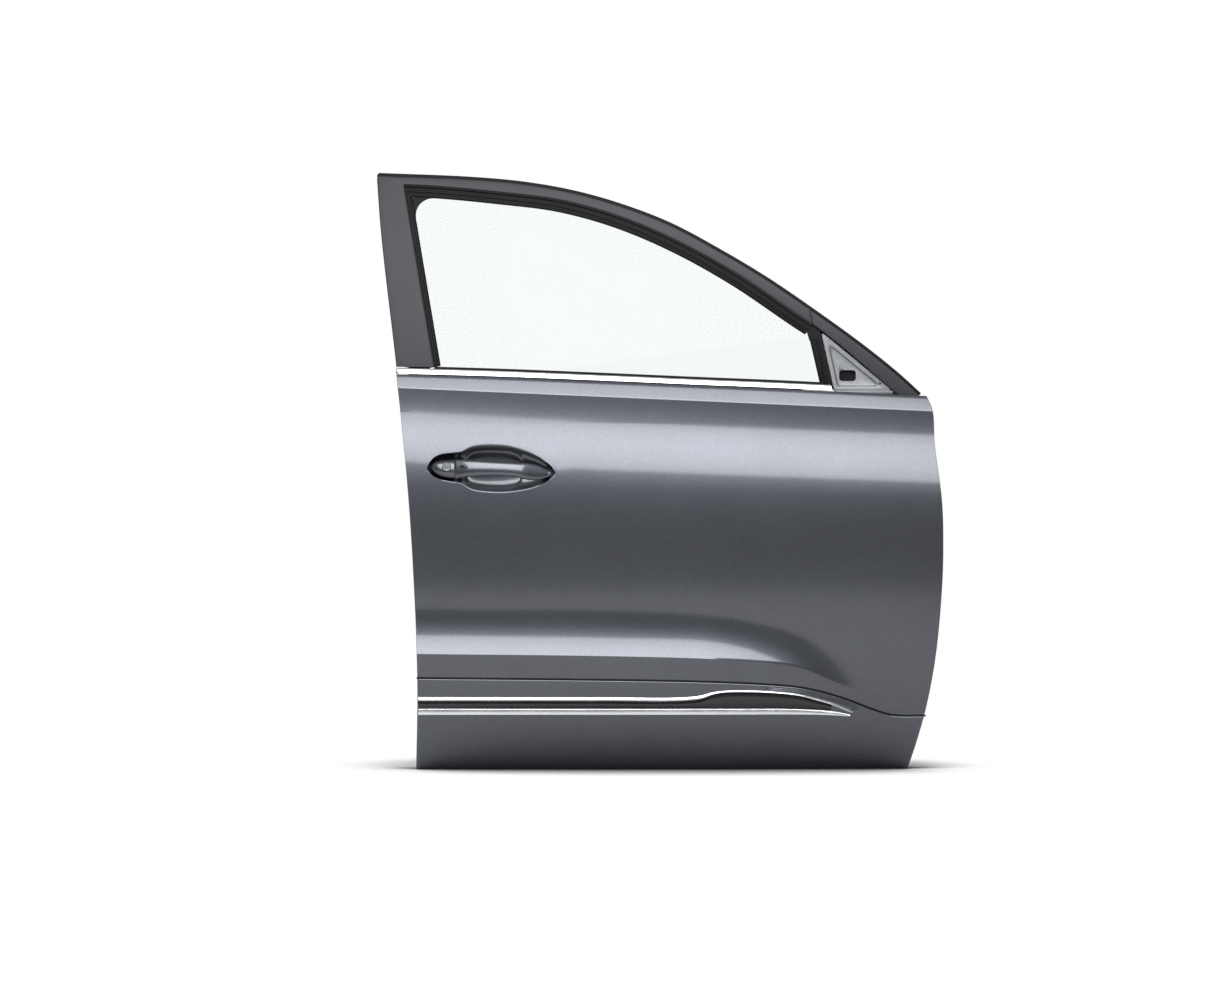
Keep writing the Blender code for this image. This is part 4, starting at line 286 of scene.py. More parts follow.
def add(tree, kind, settings=None, links=None):
    """Adds a node, sets its values and links its inputs from other nodes' outputs."""
    node = tree.nodes.new("ShaderNode" + kind)
    for name, value in (settings or {}).items():
        if isinstance(name, int) or name in node.inputs:
            node.inputs[name].default_value = value
        else:
            setattr(node, name, value)
    for name, source in (links or {}).items():
        tree.links.new(source, node.inputs[name])
    return node


def finish_of(name, settings):
    """A material with its shader's own values set; returns it with its tree and shader."""
    made = bpy.data.materials.new(name)
    made.use_nodes = True
    tree = made.node_tree
    shader = tree.nodes["Principled BSDF"]
    for socket, value in settings.items():
        shader.inputs[socket].default_value = value
    return made, tree, shader


def blended_colour(tree, shader, factor, first, second):
    mix = add(tree, "Mix", {"data_type": "RGBA"}, {"Factor": factor})
    mix.inputs["A"].default_value = linear(first)
    mix.inputs["B"].default_value = linear(second)
    tree.links.new(mix.outputs["Result"], shader.inputs["Base Color"])


def ranged(tree, value, low, high):
    settings = {"To Min": low, "To Max": high}
    return add(tree, "MapRange", settings, {"Value": value}).outputs["Result"]


def position(tree):
    return add(tree, "TexCoord").outputs["Object"]


FLAKE_MM = 0.9
PEEL_MM = 5.0


def noise(tree, place, scale, detail, roughness=0.5):
    settings = {"Scale": scale, "Detail": detail, "Roughness": roughness}
    return add(tree, "TexNoise", settings, {"Vector": place}).outputs["Fac"]


def cells(tree, place, size_mm, channel):
    """One random tone for each cell of about this size."""
    node = add(tree, "TexVoronoi", {"Scale": 1 / (size_mm * MM)}, {"Vector": place})
    return add(tree, "SeparateColor", {}, {"Color": node.outputs["Color"]}).outputs[channel]


def scaled_sum(tree, value, share, base):
    settings = {"operation": "MULTIPLY_ADD", 1: share}
    return add(tree, "Math", settings, {0: value, 2: base}).outputs["Value"]


def vary_roughness(tree, shader, value, low, high):
    tree.links.new(ranged(tree, value, low, high), shader.inputs["Roughness"])


def bumped(tree, shader, height, strength, depth, socket="Normal"):
    bump = add(tree, "Bump", {"Strength": strength, "Distance": depth}, {"Height": height})
    tree.links.new(bump.outputs["Normal"], shader.inputs[socket])


def metallic_paint(name, dark, light, roughness, coat):
    """Gunmetal base coat with aluminium flake under clear lacquer, sprayed: a soft wide sheen that follows the
    form, fine glints in it, and a sharp clear reflection on top. Real flake is far finer than a pixel, so it is
    drawn coarser."""
    made, tree, shader = finish_of(name, {
        "Metallic": 1.0, "Roughness": roughness, "Coat Weight": coat, "Coat Roughness": 0.1, "Coat IOR": 1.5})
    place = position(tree)
    cloud = ranged(tree, noise(tree, place, 9.0, 3.0), -0.1, 0.3)
    blended_colour(
        tree, shader, scaled_sum(tree, cells(tree, place, FLAKE_MM, "Red"), 0.75, cloud), dark, light)
    bumped(tree, shader, noise(tree, place, 1 / (PEEL_MM * MM), 1.0), 0.05, 0.0002, "Coat Normal")
    return made


def grained(name, dark, light, roughness, grain_mm, depth, settings=None):
    """A moulded or rubbed surface with a fine grain, whose tone and gloss drift a little."""
    made, tree, shader = finish_of(name, settings or {})
    place = position(tree)
    drift = noise(tree, place, 14.0, 5.0, 0.6)
    blended_colour(tree, shader, ranged(tree, drift, -0.3, 1.3), dark, light)
    vary_roughness(tree, shader, drift, roughness - 0.08, roughness + 0.1)
    bumped(tree, shader, noise(tree, place, 1 / (grain_mm * MM), 4.0, 0.6), 0.5, depth)
    return made


def polished(name, dark, light, roughness):
    """Chrome plate on moulded plastic: a bright mirror with faint haze where it has been wiped."""
    made, tree, shader = finish_of(name, {"Metallic": 1.0})
    wipe = add(tree, "Mapping", {"Scale": (3.0, 60.0, 60.0)}, {"Vector": position(tree)})
    haze = noise(tree, wipe.outputs["Vector"], 6.0, 4.0)
    blended_colour(tree, shader, haze, dark, light)
    vary_roughness(tree, shader, haze, roughness * 0.6, roughness * 1.5)
    return made


def plated_steel(name, dark, light, metallic, roughness, spangle_mm):
    """Zinc-coated pressed steel: dull silver with a soft mottle of crystals."""
    made, tree, shader = finish_of(name, {"Metallic": metallic})
    place = position(tree)
    cloud = noise(tree, place, 22.0, 5.0)
    tone = scaled_sum(tree, cells(tree, place, spangle_mm, "Green"), 0.35, ranged(tree, cloud, -0.2, 0.9))
    blended_colour(tree, shader, tone, dark, light)
    vary_roughness(tree, shader, cloud, roughness - 0.1, roughness + 0.12)
    bumped(tree, shader, cloud, 0.12, 0.0001)
    return made


def clear_glass():
    """Toughened float glass with a thin film. Its index is far below that of real glass, to keep the lamp's image
    off the pane."""
    made, tree, shader = finish_of("toughened_float_glass", {
        "Base Color": linear("F4F8F9"), "Roughness": 0.0, "IOR": 1.1, "Transmission Weight": 1.0})
    vary_roughness(tree, shader, noise(tree, position(tree), 6.0, 6.0), 0.0, 0.02)
    return made


FINISHES = {
    "gunmetal_paint": metallic_paint("sprayed_metallic_paint", "404247", "51545B", 0.33, 0.8),
    "inner_body_paint": metallic_paint("thin_sprayed_inner_paint", "4A4D54", "575A61", 0.5, 0.25),
    # Satin paint on pressed steel: even dark grey with no sharp reflection
    "satin_cover_paint": grained(
        "satin_sprayed_paint", "232428", "2B2C30", 0.5, 1.2, 0.00004,
        {"Metallic": 0.2, "Specular IOR Level": 0.3}),
    "bright_chrome": polished("bright_chrome_plate", "D4D6DA", "F0F1F3", 0.1),
    "satin_chrome": polished("satin_chrome_plate", "C2C4C8", "DCDEE2", 0.24),
    # Gloss ABS, moulded: deep black with a clear reflection
    "gloss_black_plastic": grained("gloss_moulded_abs", "09090B", "0F0F12", 0.14, 2.0, 0.00002),
    # EPDM rubber, extruded: near black, dull, slightly greyer where it has bloomed
    "black_rubber": grained(
        "extruded_epdm_rubber", "050506", "0D0D0E", 0.6, 0.8, 0.00006, {"Specular IOR Level": 0.16}),
    # Moulded polypropylene with a fine spark grain
    "black_plastic": grained("grained_moulded_polypropylene", "18191A", "242526", 0.5, 0.7, 0.00008),
    "primed_steel": plated_steel("bare_galvanised_steel", "66686C", "808286", 0.35, 0.45, 3.5),
    "zinc_plated_steel": plated_steel("zinc_plated_steel", "6E7074", "929498", 0.75, 0.38, 2.5),
    "clear_glass": clear_glass(),
}


# Forms

def dress(obj, body, slot, *replaced):
    """Gives a piece its finish, the body it rides on and the solids it stands for."""
    obj.data.materials.clear()
    obj.data.materials.append(FINISHES[slot])
    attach(obj, body)
    if replaced:
        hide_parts(*replaced)
    return obj


def smooth(obj, angle=30):
    obj.data.shade_smooth()
    obj.data.set_sharp_from_angle(angle=math.radians(angle))
    return obj


def mesh_from(name, points, faces):
    mesh = bpy.data.meshes.new(name)
    mesh.from_pydata([tuple(float(c) for c in point) for point in points], [], faces)
    bm = bmesh.new()
    bm.from_mesh(mesh)
    bmesh.ops.recalc_face_normals(bm, faces=bm.faces)
    bm.to_mesh(mesh)
    bm.free()
    return placed(name, mesh)


def shell(name, rows, back, angle):
    """A thin closed sheet: rows of points in front and the same rows moved back by a distance along Y."""
    front = np.array([[tuple(p) for p in row] for row in rows], dtype=float)
    count_r, count_c = front.shape[:2]
    rear = front + np.array((0.0, back, 0.0))
    points = np.concatenate([front.reshape(-1, 3), rear.reshape(-1, 3)])
    half = count_r * count_c
    faces = []
    for r in range(count_r - 1):
        for c in range(count_c - 1):
            a = r * count_c + c
            faces.append((a, a + count_c, a + count_c + 1, a + 1))
            faces.append((half + a, half + a + 1, half + a + count_c + 1, half + a + count_c))
    grid = np.arange(half).reshape(count_r, count_c)
    rim = [int(k) for side in (grid[0], grid[1:, -1], grid[-1, -2::-1], grid[-2:0:-1, 0]) for k in side]
    for a, b in zip(rim, rim[1:] + rim[:1]):
        faces.append((a, b, half + b, half + a))
    return smooth(mesh_from(name, points, faces), angle)


def loft(name, rings, angle):
    """A solid through rings of points, with a flat face at each end."""
    count = len(rings[0])
    points = [point for ring in rings for point in ring]
    faces = [tuple(range(count)), tuple(range(len(points) - 1, len(points) - count - 1, -1))]
    for r in range(len(rings) - 1):
        for c in range(count):
            a = r * count + c
            b = r * count + (c + 1) % count
            faces.append((b, a, a + count, b + count))
    return smooth(mesh_from(name, points, faces), angle)


RECESS_BAND = (0.69, 0.54)
RECESS_LEAST_HALF = 0.0035
RIM_SHARES = (0.0, 0.01, 0.025, 0.05, 0.08, *np.linspace(0.12, 0.88, 20), 0.92, 0.95, 0.975, 0.99, 1.0)


def recess_rows(x):
    """Rows past the handle: beside the recess they draw together so that some lie on its rim."""
    high, low = RECESS_BAND
    inside = np.where((x > RECESS_SPAN[0]) & (x < RECESS_SPAN[1]), recess_half(x), 0.0)
    half = np.maximum(inside, RECESS_LEAST_HALF)
    centre = recess_centre(np.clip(x, *RECESS_SPAN))
    top, bottom = centre + half, centre - half
    rows = [high + (top + 0.002 - high) * f for f in np.linspace(0.0, 1.0, 12)]
    rows += [top + 0.0008]
    rows += [top - half * 2 * f for f in RIM_SHARES]
    rows += [bottom - 0.0008]
    rows += [bottom - 0.002 + (low - bottom + 0.002) * f for f in np.linspace(0.0, 1.0, 12)]
    even = np.linspace(high, low, len(rows))
    apart = fade(np.maximum(RECESS_SPAN[0] - x, x - RECESS_SPAN[1]), 0.0, 0.05)
    return [row * (1 - apart) + z * apart for row, z in zip(rows, even)]


def skin_heights(x):
    """Heights of the fine grid's rows at x, from the belt down."""
    belt, crease, upper = belt_line(x), line_at(CREASE_LINE, x), ledge_upper(x)
    lower, cladding = ledge_lower(x), cladding_line(x)
    rows = [belt, belt - 0.0006]
    rows += [belt + (crease + 0.004 - belt) * f for f in (0.25, 0.5, 0.75)]
    rows += [crease + up for up in (0.004, 0.0022, 0.0014, 0.0007, 0.0, -0.0007, -0.0014, -0.0022, -0.004)]
    rows += [crease - 0.004 + (0.69 - crease + 0.004) * f for f in (0.33, 0.66)]
    rows += recess_rows(x)
    rows += [0.54 + (upper - 0.54) * f for f in np.linspace(0.05, 1.0, 20)]
    rows += [upper + (lower - upper) * f for f in np.linspace(0.06, 1.0, 17)]
    rows += [lower - down for down in (0.0008, 0.002)]
    rows += [lower - 0.002 + (cladding - lower + 0.002) * f for f in (0.33, 0.66, 1.0)]
    rows += [cladding * f for f in (0.97, 0.8, 0.6, 0.4, 0.2)]
    return rows + [np.full_like(x, 0.0006), np.zeros_like(x)]


def skin_grid(shares):
    """Places (x, z) of the fine grid: rows bend with the feature lines, columns with the door's edges."""
    count = len(skin_heights(np.zeros(1)))
    xs, zs = np.zeros((count, len(shares))), np.zeros((count, len(shares)))
    for row in range(count):
        x = shares - 0.5
        for _ in range(4):
            z = skin_heights(x)[row]
            x = rear_edge(z) + (front_edge(z) - rear_edge(z)) * shares
        xs[row], zs[row] = x, z
    return xs, zs


SKIN_SHEET = 0.0009
EDGE_FOLD = 0.0005


def make_skin():
    shares = np.concatenate([
        [0.0, 0.0006], np.linspace(0.006, 0.022, 4), np.linspace(0.026, 0.285, 150),
        np.linspace(0.3, 0.99, 60), [0.9994, 1.0]])
    xs, zs = skin_grid(shares)
    ys = skin_y(xs, zs, recessed=True)
    for edge in (np.s_[0, :], np.s_[-1, :], np.s_[:, 0], np.s_[:, -1]):
        ys[edge] += EDGE_FOLD
    return shell("door_skin", np.stack([xs, ys, zs], axis=2), SKIN_SHEET, 25)


dress(make_skin(), "door", "gunmetal_paint", "outer_skin")


# Lower cladding with its two bright strips and the black insert between them

CLADDING_LIFT = GAP + 0.003


def cladding_y(x, z):
    return skin_y(x, z) - CLADDING_LIFT


CLADDING_EDGE = 0.0012
CLADDING_FOLD = 0.001
CLADDING_SHEET = 0.0018
CLADDING_ROLL = ((0.0, 2.2), (0.5, 1.0), (1.0, 0.4), (1.8, 0.0))
FIRST_RIB = 1.6
RIB_SPACE = 3.2
RIB_HALF = 0.9
RIB_SPAN = (0.19, 0.25, 0.36, 0.42)
RIB_DEPTH = 0.7


def make_cladding():
    """Moulded lower panel with a rolled top edge and three fine grooves beside the bright strip's tip."""
    shares = np.concatenate([[0.003, 0.0036], np.linspace(0.01, 0.99, 160), [0.9964, 0.997]])
    steps = [(down, back, 0.0) for down, back in CLADDING_ROLL]
    for rib in (1, 2, 3):
        middle = FIRST_RIB + rib * RIB_SPACE
        steps += [(middle - RIB_HALF, 0.0, 0.0), (middle, 0.0, RIB_DEPTH), (middle + RIB_HALF, 0.0, 0.0)]
    rows = []
    fractions = np.linspace(0.95, 0.0, 12)
    for k in range(len(steps) + len(fractions)):
        x = shares - 0.5
        for _ in range(4):
            top = cladding_line(x) - CLADDING_EDGE
            first = top - steps[min(k, len(steps) - 1)][0] * MM
            z = first if k < len(steps) else 0.0005 + (first - 0.0005) * fractions[k - len(steps)]
            x = rear_edge(z) + (front_edge(z) - rear_edge(z)) * shares
        y = cladding_y(x, z)
        if k < len(steps):
            ribbed = fade(x, *RIB_SPAN[:2]) * (1 - fade(x, *RIB_SPAN[2:]))
            y = y + (steps[k][1] + steps[k][2] * ribbed) * MM
        rows.append(np.stack([x, y, z], axis=1))
    rows = np.array(rows)
    for edge in (np.s_[-1, :, 1], np.s_[:, 0, 1], np.s_[:, -1, 1]):
        rows[edge] += CLADDING_FOLD
    return shell("lower_panel", rows, CLADDING_SHEET, 25)


dress(make_cladding(), "door", "gunmetal_paint", "lower_cladding")

LIP_HALF = 1.9
LIP_LIFT = 2.4


def make_cladding_lip():
    """Rubber lip that closes the joint between the skin and the lower panel. Its black also stands in for the shade
    in the joint, as painted shade.
    """
    xs = np.linspace(-0.4805, 0.5335, 150)
    section = [(-1.0, 0.0), (-1.0, LIP_LIFT * 0.7), (-0.3, LIP_LIFT), (0.4, LIP_LIFT * 0.8), (1.0, 0.0)]
    return strip("cladding_lip", xs, cladding_line(xs) + 0.0002, np.full(len(xs), LIP_HALF), section, skin_y)


UPPER_CHROME = (
    (-0.477, 0.1405, 3.7), (-0.3, 0.1405, 3.7), (-0.1, 0.1405, 3.7), (0.056, 0.141, 3.6), (0.086, 0.1445, 3.6),
    (0.108, 0.1515, 2.6), (0.134, 0.1555, 2.0), (0.178, 0.156, 2.0), (0.234, 0.1535, 2.0), (0.284, 0.1475, 2.0),
    (0.316, 0.139, 2.2), (0.346, 0.1305, 2.4), (0.372, 0.12, 2.6), (0.388, 0.113, 1.6),
)
LOWER_CHROME = (
    (-0.477, 0.1145, 6.3), (-0.3, 0.1145, 6.3), (-0.1, 0.1145, 6.3), (0.1, 0.1145, 6.3), (0.24, 0.1145, 6.0),
    (0.31, 0.113, 5.0), (0.352, 0.1105, 4.0), (0.382, 0.1068, 2.2),
)
UPPER_SECTION = [
    (-1.0, -0.2), (-1.0, 3.2), (-0.85, 3.8), (-0.6, 3.95), (-0.2, 3.6), (0.4, 2.7), (0.8, 1.8), (1.0, 0.9),
    (1.0, -0.2)
]
LOWER_SECTION = [
    (-1.0, -0.2), (-1.0, 3.2), (-0.93, 3.8), (-0.8, 3.95), (0.8, 2.75), (0.93, 2.4), (1.0, 1.6), (1.0, -0.2),
]
INSERT_CLEARANCE = 0.6
INSERT_XS = np.linspace(-0.477, 0.345, 120)


def strip_places(table, xs):
    """Heights and half widths of a strip at each x."""
    knots, _, halves = np.array(table).T
    return curve_through([row[:2] for row in table])(xs), np.interp(xs, knots, halves)


def strip(name, xs, heights, halves, section, surface):
    """A strip of trim: section as (share of half width, lift in mm)."""
    spots = np.stack([xs, heights], axis=1)
    ways = np.gradient(spots, axis=0)
    ways /= np.linalg.norm(ways, axis=1)[:, None]
    rings = []
    for spot, way, half in zip(spots, ways, halves):
        ring = []
        for share, lift in section:
            x, z = spot + np.array((-way[1], way[0])) * half * MM * share
            ring.append((x, float(surface(x, z)) - GAP - lift * MM, z))
        rings.append(ring)
    return loft(name, rings, 40)


def chrome_strip(name, table, section, node):
    xs = np.linspace(table[0][0], table[-1][0], 150)
    dress(strip(name, xs, *strip_places(table, xs), section, cladding_y), "door", "satin_chrome", node)


chrome_strip("upper_bright_strip", UPPER_CHROME, UPPER_SECTION, "trim_upper_chrome")
chrome_strip("lower_bright_strip", LOWER_CHROME, LOWER_SECTION, "trim_lower_chrome")
# The lip's black rubber is partly a real lip and partly painted shade for the joint above the lower panel
dress(make_cladding_lip(), "door", "black_rubber")


def make_insert():
    above, above_half = strip_places(UPPER_CHROME, INSERT_XS)
    below, below_half = strip_places(LOWER_CHROME, INSERT_XS)
    upper, lower = above - above_half * MM, below + below_half * MM
    halves = (upper - lower) / 2 / MM - INSERT_CLEARANCE
    section = [(-1.0, -0.2), (-1.0, 0.7), (-0.9, 1.2), (0.9, 1.2), (1.0, 0.7), (1.0, -0.2)]
    return strip("black_insert", INSERT_XS, (upper + lower) / 2, halves, section, cladding_y)


dress(make_insert(), "door", "gloss_black_plastic", "trim_insert")


# Window frame: stations round it, from the pillar's foot over the corner to the front

HEADER_XS = np.concatenate([[-0.5595], np.linspace(-0.553, COVER_SEAM, 60)])
FRONT_XS = np.linspace(COVER_SEAM, 0.526, 18)
PILLAR_STEPS = 24
CORNER_ROUND = 0.0065
CORNER_PULL = 0.12


def pillar_way():
    (x0, z0), (x1, z1) = PILLAR_INNER
    along = Vector((x1 - x0, z1 - z0)).normalized()
    return Vector((along.y, -along.x))


def slope_at(curve, t):
    return float(curve(t + MM) - curve(t - MM)) / (2 * MM)


def header_way(x):
    return Vector((slope_at(header_inner, x), -1.0)).normalized()


def station(outer, inner, to_pillar, to_header):
    """Cross-section of the frame: a function of (from the outer edge?, distance, depth, pillar's shift)."""
    outer, inner, to_pillar, to_header = Vector(outer), Vector(inner), Vector(to_pillar), Vector(to_header)

    def at(from_edge, across, depth, shift=0.0):
        start = outer if from_edge else inner
        spot = start + to_pillar * (across + shift) + to_header * across
        return Vector((spot.x, float(glass_y(spot.x, spot.y)) + depth, spot.y))

    return at


def corner_step(before, corner, after, t):
    def at(*place):
        return before(*place) * (1 - t) ** 2 + corner(*place) * (2 * t * (1 - t)) + after(*place) * t**2

    return at


def header_station(x):
    top = float(roof_edge(x))
    slope = slope_at(roof_edge, x)
    pull = (HEADER_INNER[0][0] - ROOF_EDGE[0][0]) * max(0.0, 1 - (x - ROOF_EDGE[0][0]) / CORNER_PULL)
    lean = SEAM_LEAN * max(0.0, 1 - abs(x - COVER_SEAM) / SEAM_LEAN_REACH)
    inner_x = x + pull + lean + (top - float(header_inner(x))) * slope / (1 + slope**2)
    return station((x, top), (inner_x, float(header_inner(inner_x))), (0, 0), header_way(inner_x))


def pillar_station(share):
    z = PILLAR_INNER[0][1] + (REAR_EDGE[-1][0] - PILLAR_INNER[0][1]) * share
    inner_z = PILLAR_INNER[0][1] + (HEADER_INNER[0][1] - PILLAR_INNER[0][1]) * share
    inner_x = line_at([pair[::-1] for pair in PILLAR_INNER], inner_z)
    return station((float(rear_edge(z)), z), (inner_x, inner_z), pillar_way(), (0, 0))


def corner_station():
    side, first = pillar_way(), header_way(HEADER_INNER[0][0])
    turn = side.x * first.y - side.y * first.x
    to_pillar, to_header = Vector((first.y, -first.x)) / turn, Vector((-side.y, side.x)) / turn
    return station(ROOF_EDGE[0], HEADER_INNER[0], to_pillar, to_header)


def make_stations():
    length = REAR_EDGE[-1][0] - PILLAR_INNER[0][1]
    last = 1 - CORNER_ROUND / length
    corner = corner_station()
    pillar = [pillar_station(share) for share in np.linspace(0.0, last, PILLAR_STEPS)]
    header = [header_station(x) for x in HEADER_XS]
    bend = [corner_step(pillar[-1], corner, header[0], t) for t in (0.2, 0.4, 0.6, 0.8)]
    return pillar, bend, header, [header_station(x) for x in FRONT_XS]


PILLAR, BEND, HEADER, FRONT = make_stations()
SASH = PILLAR + BEND + HEADER

# (share of the way in from the outer edge, depth in mm, share of the crown)
COVER_SECTION = (
    (0.0, 4.0, 0.0), (0.0, 10.0, 0.0), (0.012, 10.6, 0.0), (0.04, 11.0, 0.0), (0.25, 11.0, 0.7),
    (0.5, 11.0, 1.0), (0.75, 11.0, 0.7), (0.94, 11.0, 0.0), (0.985, 10.7, 0.0), (1.0, 10.0, 0.0),
    (0.985, 9.6, 0.0), (0.04, 9.8, 0.0), (0.03, 4.0, 0.0),
)


def cover_ring(at, crown):
    """Section of a pressed cover with rolled edges: its front, and its back 1.2 mm behind."""
    outer, inner = at(True, SEAL_WIDTH, 0.0, PILLAR_EDGE - SEAL_WIDTH), at(False, 0.0, 0.0)
    ring = []
    for share, depth, swell in COVER_SECTION:
        spot = outer.lerp(inner, share)
        ring.append((spot.x, spot.y - (depth + crown * swell) * MM, spot.z))
    return ring


def swept(name, stations, section, shift, from_edge=False):
    """A strip of one section, pairs of (across, depth) in mm, along the stations."""
    return loft(name, [[at(from_edge, a * MM, d * MM, shift) for a, d in section] for at in stations], 32)


COVER_SEAM_GAP = 0.003


def make_front_cover():
    rings = [cover_ring(at, 0.2) for at in FRONT]
    way = (Vector(rings[1][3]) - Vector(rings[0][3])).normalized() * COVER_SEAM_GAP
    rings[0] = [tuple(Vector(p) + way) for p in rings[0]]
    return loft("sash_front_piece", rings, 32)


dress(loft("sash_piece", [cover_ring(at, 0.5) for at in SASH], 32), "door", "satin_cover_paint", "sash_cover")
dress(make_front_cover(), "door", "satin_cover_paint", "sash_front_cover")


def make_seam_filler():
    """Rubber under the seam between the two covers."""
    rings = []
    for ring in (cover_ring(HEADER[-3], 0.0), cover_ring(FRONT[1], 0.0)):
        rings.append([(x, y + 0.0014, z) for x, y, z in ring])
    return loft("cover_seam_rubber", rings, 32)


dress(make_seam_filler(), "door", "black_rubber")

RUN_PROFILE = (
    (-2.0, -8.6), (0.2, -9.3), (3.4, -9.4), (4.2, -8.9), (4.8, -4.8), (9.6, -4.6), (10.2, -7.2), (10.9, -8.0),
    (13.6, -8.1), (14.8, -7.2), (15.4, -4.8), (18.8, -4.2), (19.4, -5.4), (20.4, -6.0), (22.4, -5.7),
    (23.3, -4.2), (25.4, -2.3), (25.6, -0.8), (10.0, -0.8), (10.0, 4.8), (20.0, 4.8), (20.0, 7.2), (4.0, 9.0),
    (-2.4, 9.0),
)
dress(swept("run_strip", SASH, RUN_PROFILE, -PILLAR_RUN_SHIFT), "door", "black_rubber", "glass_run")

EDGE_PROFILE = (
    (0.0, -8.4), (0.5, -9.6), (1.6, -10.5), (3.0, -10.9), (4.6, -10.8), (5.6, -10.2), (5.6, 1.5), (2.0, 1.5),
    (0.0, -0.5)
)
dress(
    swept("edge_strip", BEND + HEADER + FRONT, EDGE_PROFILE, 0.0, True), "door", "black_rubber",
    "frame_edge_seal")

CORNER_RADIUS = 0.034
RUN_LIP = 0.0258
# (share of the radius, depth in mm), with no radius at the corner's tip
CORNER_PROFILE = (
    (None, -2.0), (1.07, -2.9), (1.045, -2.9), (1.035, -5.0), (1.01, -5.2), (1.0, -4.6), (1.0, -0.8), (None, -0.8),
)


def make_corner_patch():
    """Moulded corner of the run, with a raised rim along its curved edge."""
    side = pillar_way()
    tip = corner_station()(False, RUN_LIP, 0.0, -PILLAR_RUN_SHIFT).xz
    down = Vector((side.y, -side.x))
    down = down if down.y < 0 else -down
    along = header_way(tip.x).orthogonal().normalized()
    along = along if along.x > 0 else -along
    half = down.angle(along) / 2
    middle = tip + (down + along).normalized() * (CORNER_RADIUS / math.sin(half))
    reach = CORNER_RADIUS / math.tan(half)
    start, end = [math.atan2(*(tip + way * reach - middle).yx) for way in (down, along)]
    end -= 2 * math.pi if end > start else 0.0
    rings = []
    for radius, depth in CORNER_PROFILE:
        ring = []
        for f in np.linspace(0.0, 1.0, 25):
            angle = start + (end - start) * f
            arc = middle + Vector((math.cos(angle), math.sin(angle))) * (CORNER_RADIUS * (radius or 1.0))
            ring.append(on_glass(*(arc if radius else tip), depth))
        rings.append(ring)
    return loft("run_corner", list(zip(*rings)), 32)


dress(make_corner_patch(), "door", "black_rubber", "run_corner_filler")


def make_glass():
    rows, columns = 48, 40
    grid = [[] for _ in range(rows + 1)]
    for along in np.linspace(GLASS_REAR, GLASS_FRONT, columns + 1):
        top = 1.0
        for _ in range(20):
            x = glass_line(along, top)
            top = float(header_inner(x)) - GLASS_EDGE_COVER * math.sqrt(1 + slope_at(header_inner, x) ** 2)
        for r in range(rows + 1):
            z = top + (GLASS_BOTTOM - top) * r / rows
            x = glass_line(along, z)
            grid[r].append((x, float(glass_y(x, z)), z))
    return shell("glass_sheet", grid, GLASS_THICK, 40)


dress(make_glass(), "glass", "clear_glass", "window_glass")


def front_run_x(z):
    return line_at([pair[::-1] for pair in OPENING_FRONT], z)


FRONT_RUN_PROFILE = (
    (0.0, -2.2), (2.6, -2.9), (5.0, -5.0), (7.0, -6.0), (9.4, -6.0), (10.2, -4.4), (11.8, -4.4), (12.4, -7.2),
    (13.2, -8.2), (15.2, -8.4), (16.2, -7.6), (16.6, -5.4), (17.5, -5.2), (17.5, 8.5), (3.0, 8.5), (3.0, 4.9),
    (15.0, 4.9), (15.0, -0.9), (0.0, -0.9),
)


def make_front_run():
    rings = []
    for z in np.linspace(0.856, 0.757, 24):
        start = front_run_x(z)
        rings.append([on_glass(start + across * MM, z, depth) for across, depth in FRONT_RUN_PROFILE])
    return loft("front_run_strip", rings, 32)


dress(make_front_run(), "door", "black_rubber", "front_glass_run")


def plate(name, outline, depth, thickness):
    """A flat piece over an outline of places (x, z), at a depth behind the glass's outside face."""
    middle = Vector(outline[0]).lerp(Vector(outline[len(outline) // 2]), 0.5)
    rings = []
    for share, back in ((0.92, 0.0), (1.0, 0.6), (1.0, thickness)):
        spots = [middle + (Vector(corner) - middle) * share for corner in outline]
        rings.append([on_glass(*spot, depth + back) for spot in spots])
    return loft(name, rings, 30)


RUN_SIDE_EDGE = ((0.8745, 0.3257), (0.754, 0.3525))


def make_run_side():
    """Rubber lip between the front run and the mirror bracket."""
    rings = []
    for z in np.linspace(0.872, 0.756, 20):
        start = front_run_x(z)
        width = (line_at(RUN_SIDE_EDGE, z) - start) / MM
        section = (
            (15.0, -5.2), (width - 3.0, -5.6), (width - 1.2, -6.4), (width, -5.0), (width, -1.0), (15.0, -1.0)
        )
        rings.append([on_glass(start + across * MM, z, depth) for across, depth in section])
    return loft("run_side_lip", rings, 32)


dress(make_run_side(), "door", "black_rubber")
CORNER_BLOCK = (
    (0.276, 0.8905), (0.296, 0.902), (0.312, 0.8935), (0.3262, 0.877), (0.327, 0.856), (0.303, 0.8545),
    (0.2985, 0.87)
)
dress(plate("run_front_corner", CORNER_BLOCK, -5.2, 4.0), "door", "black_rubber")
FOOT_BLOCK = ((0.47, 0.77), (0.483, 0.761), (0.502, 0.746), (0.502, 0.74), (0.47, 0.74))
dress(plate("frame_foot_rubber", FOOT_BLOCK, -9.0, 8.0), "door", "black_rubber")


# Mirror bracket: pressed triangle with a sunk floor, a slot, holes with rivet nuts, a lower lip and a gasket

MIRROR_CORNERS = ((0.3252, 0.8745), (0.352, 0.754), (0.472, 0.754))
MIRROR_DEPTH = -0.004
MIRROR_STEP = 0.007


def mirror_face(x, z, back=0.0):
    corners = [Vector((cx, float(glass_y(cx, cz)) + MIRROR_DEPTH, cz)) for cx, cz in MIRROR_CORNERS]
    normal = (corners[1] - corners[0]).cross(corners[2] - corners[0])
    y = corners[0].y - (normal.x * (x - corners[0].x) + normal.z * (z - corners[0].z)) / normal.y
    return Vector((x, y + back, z))


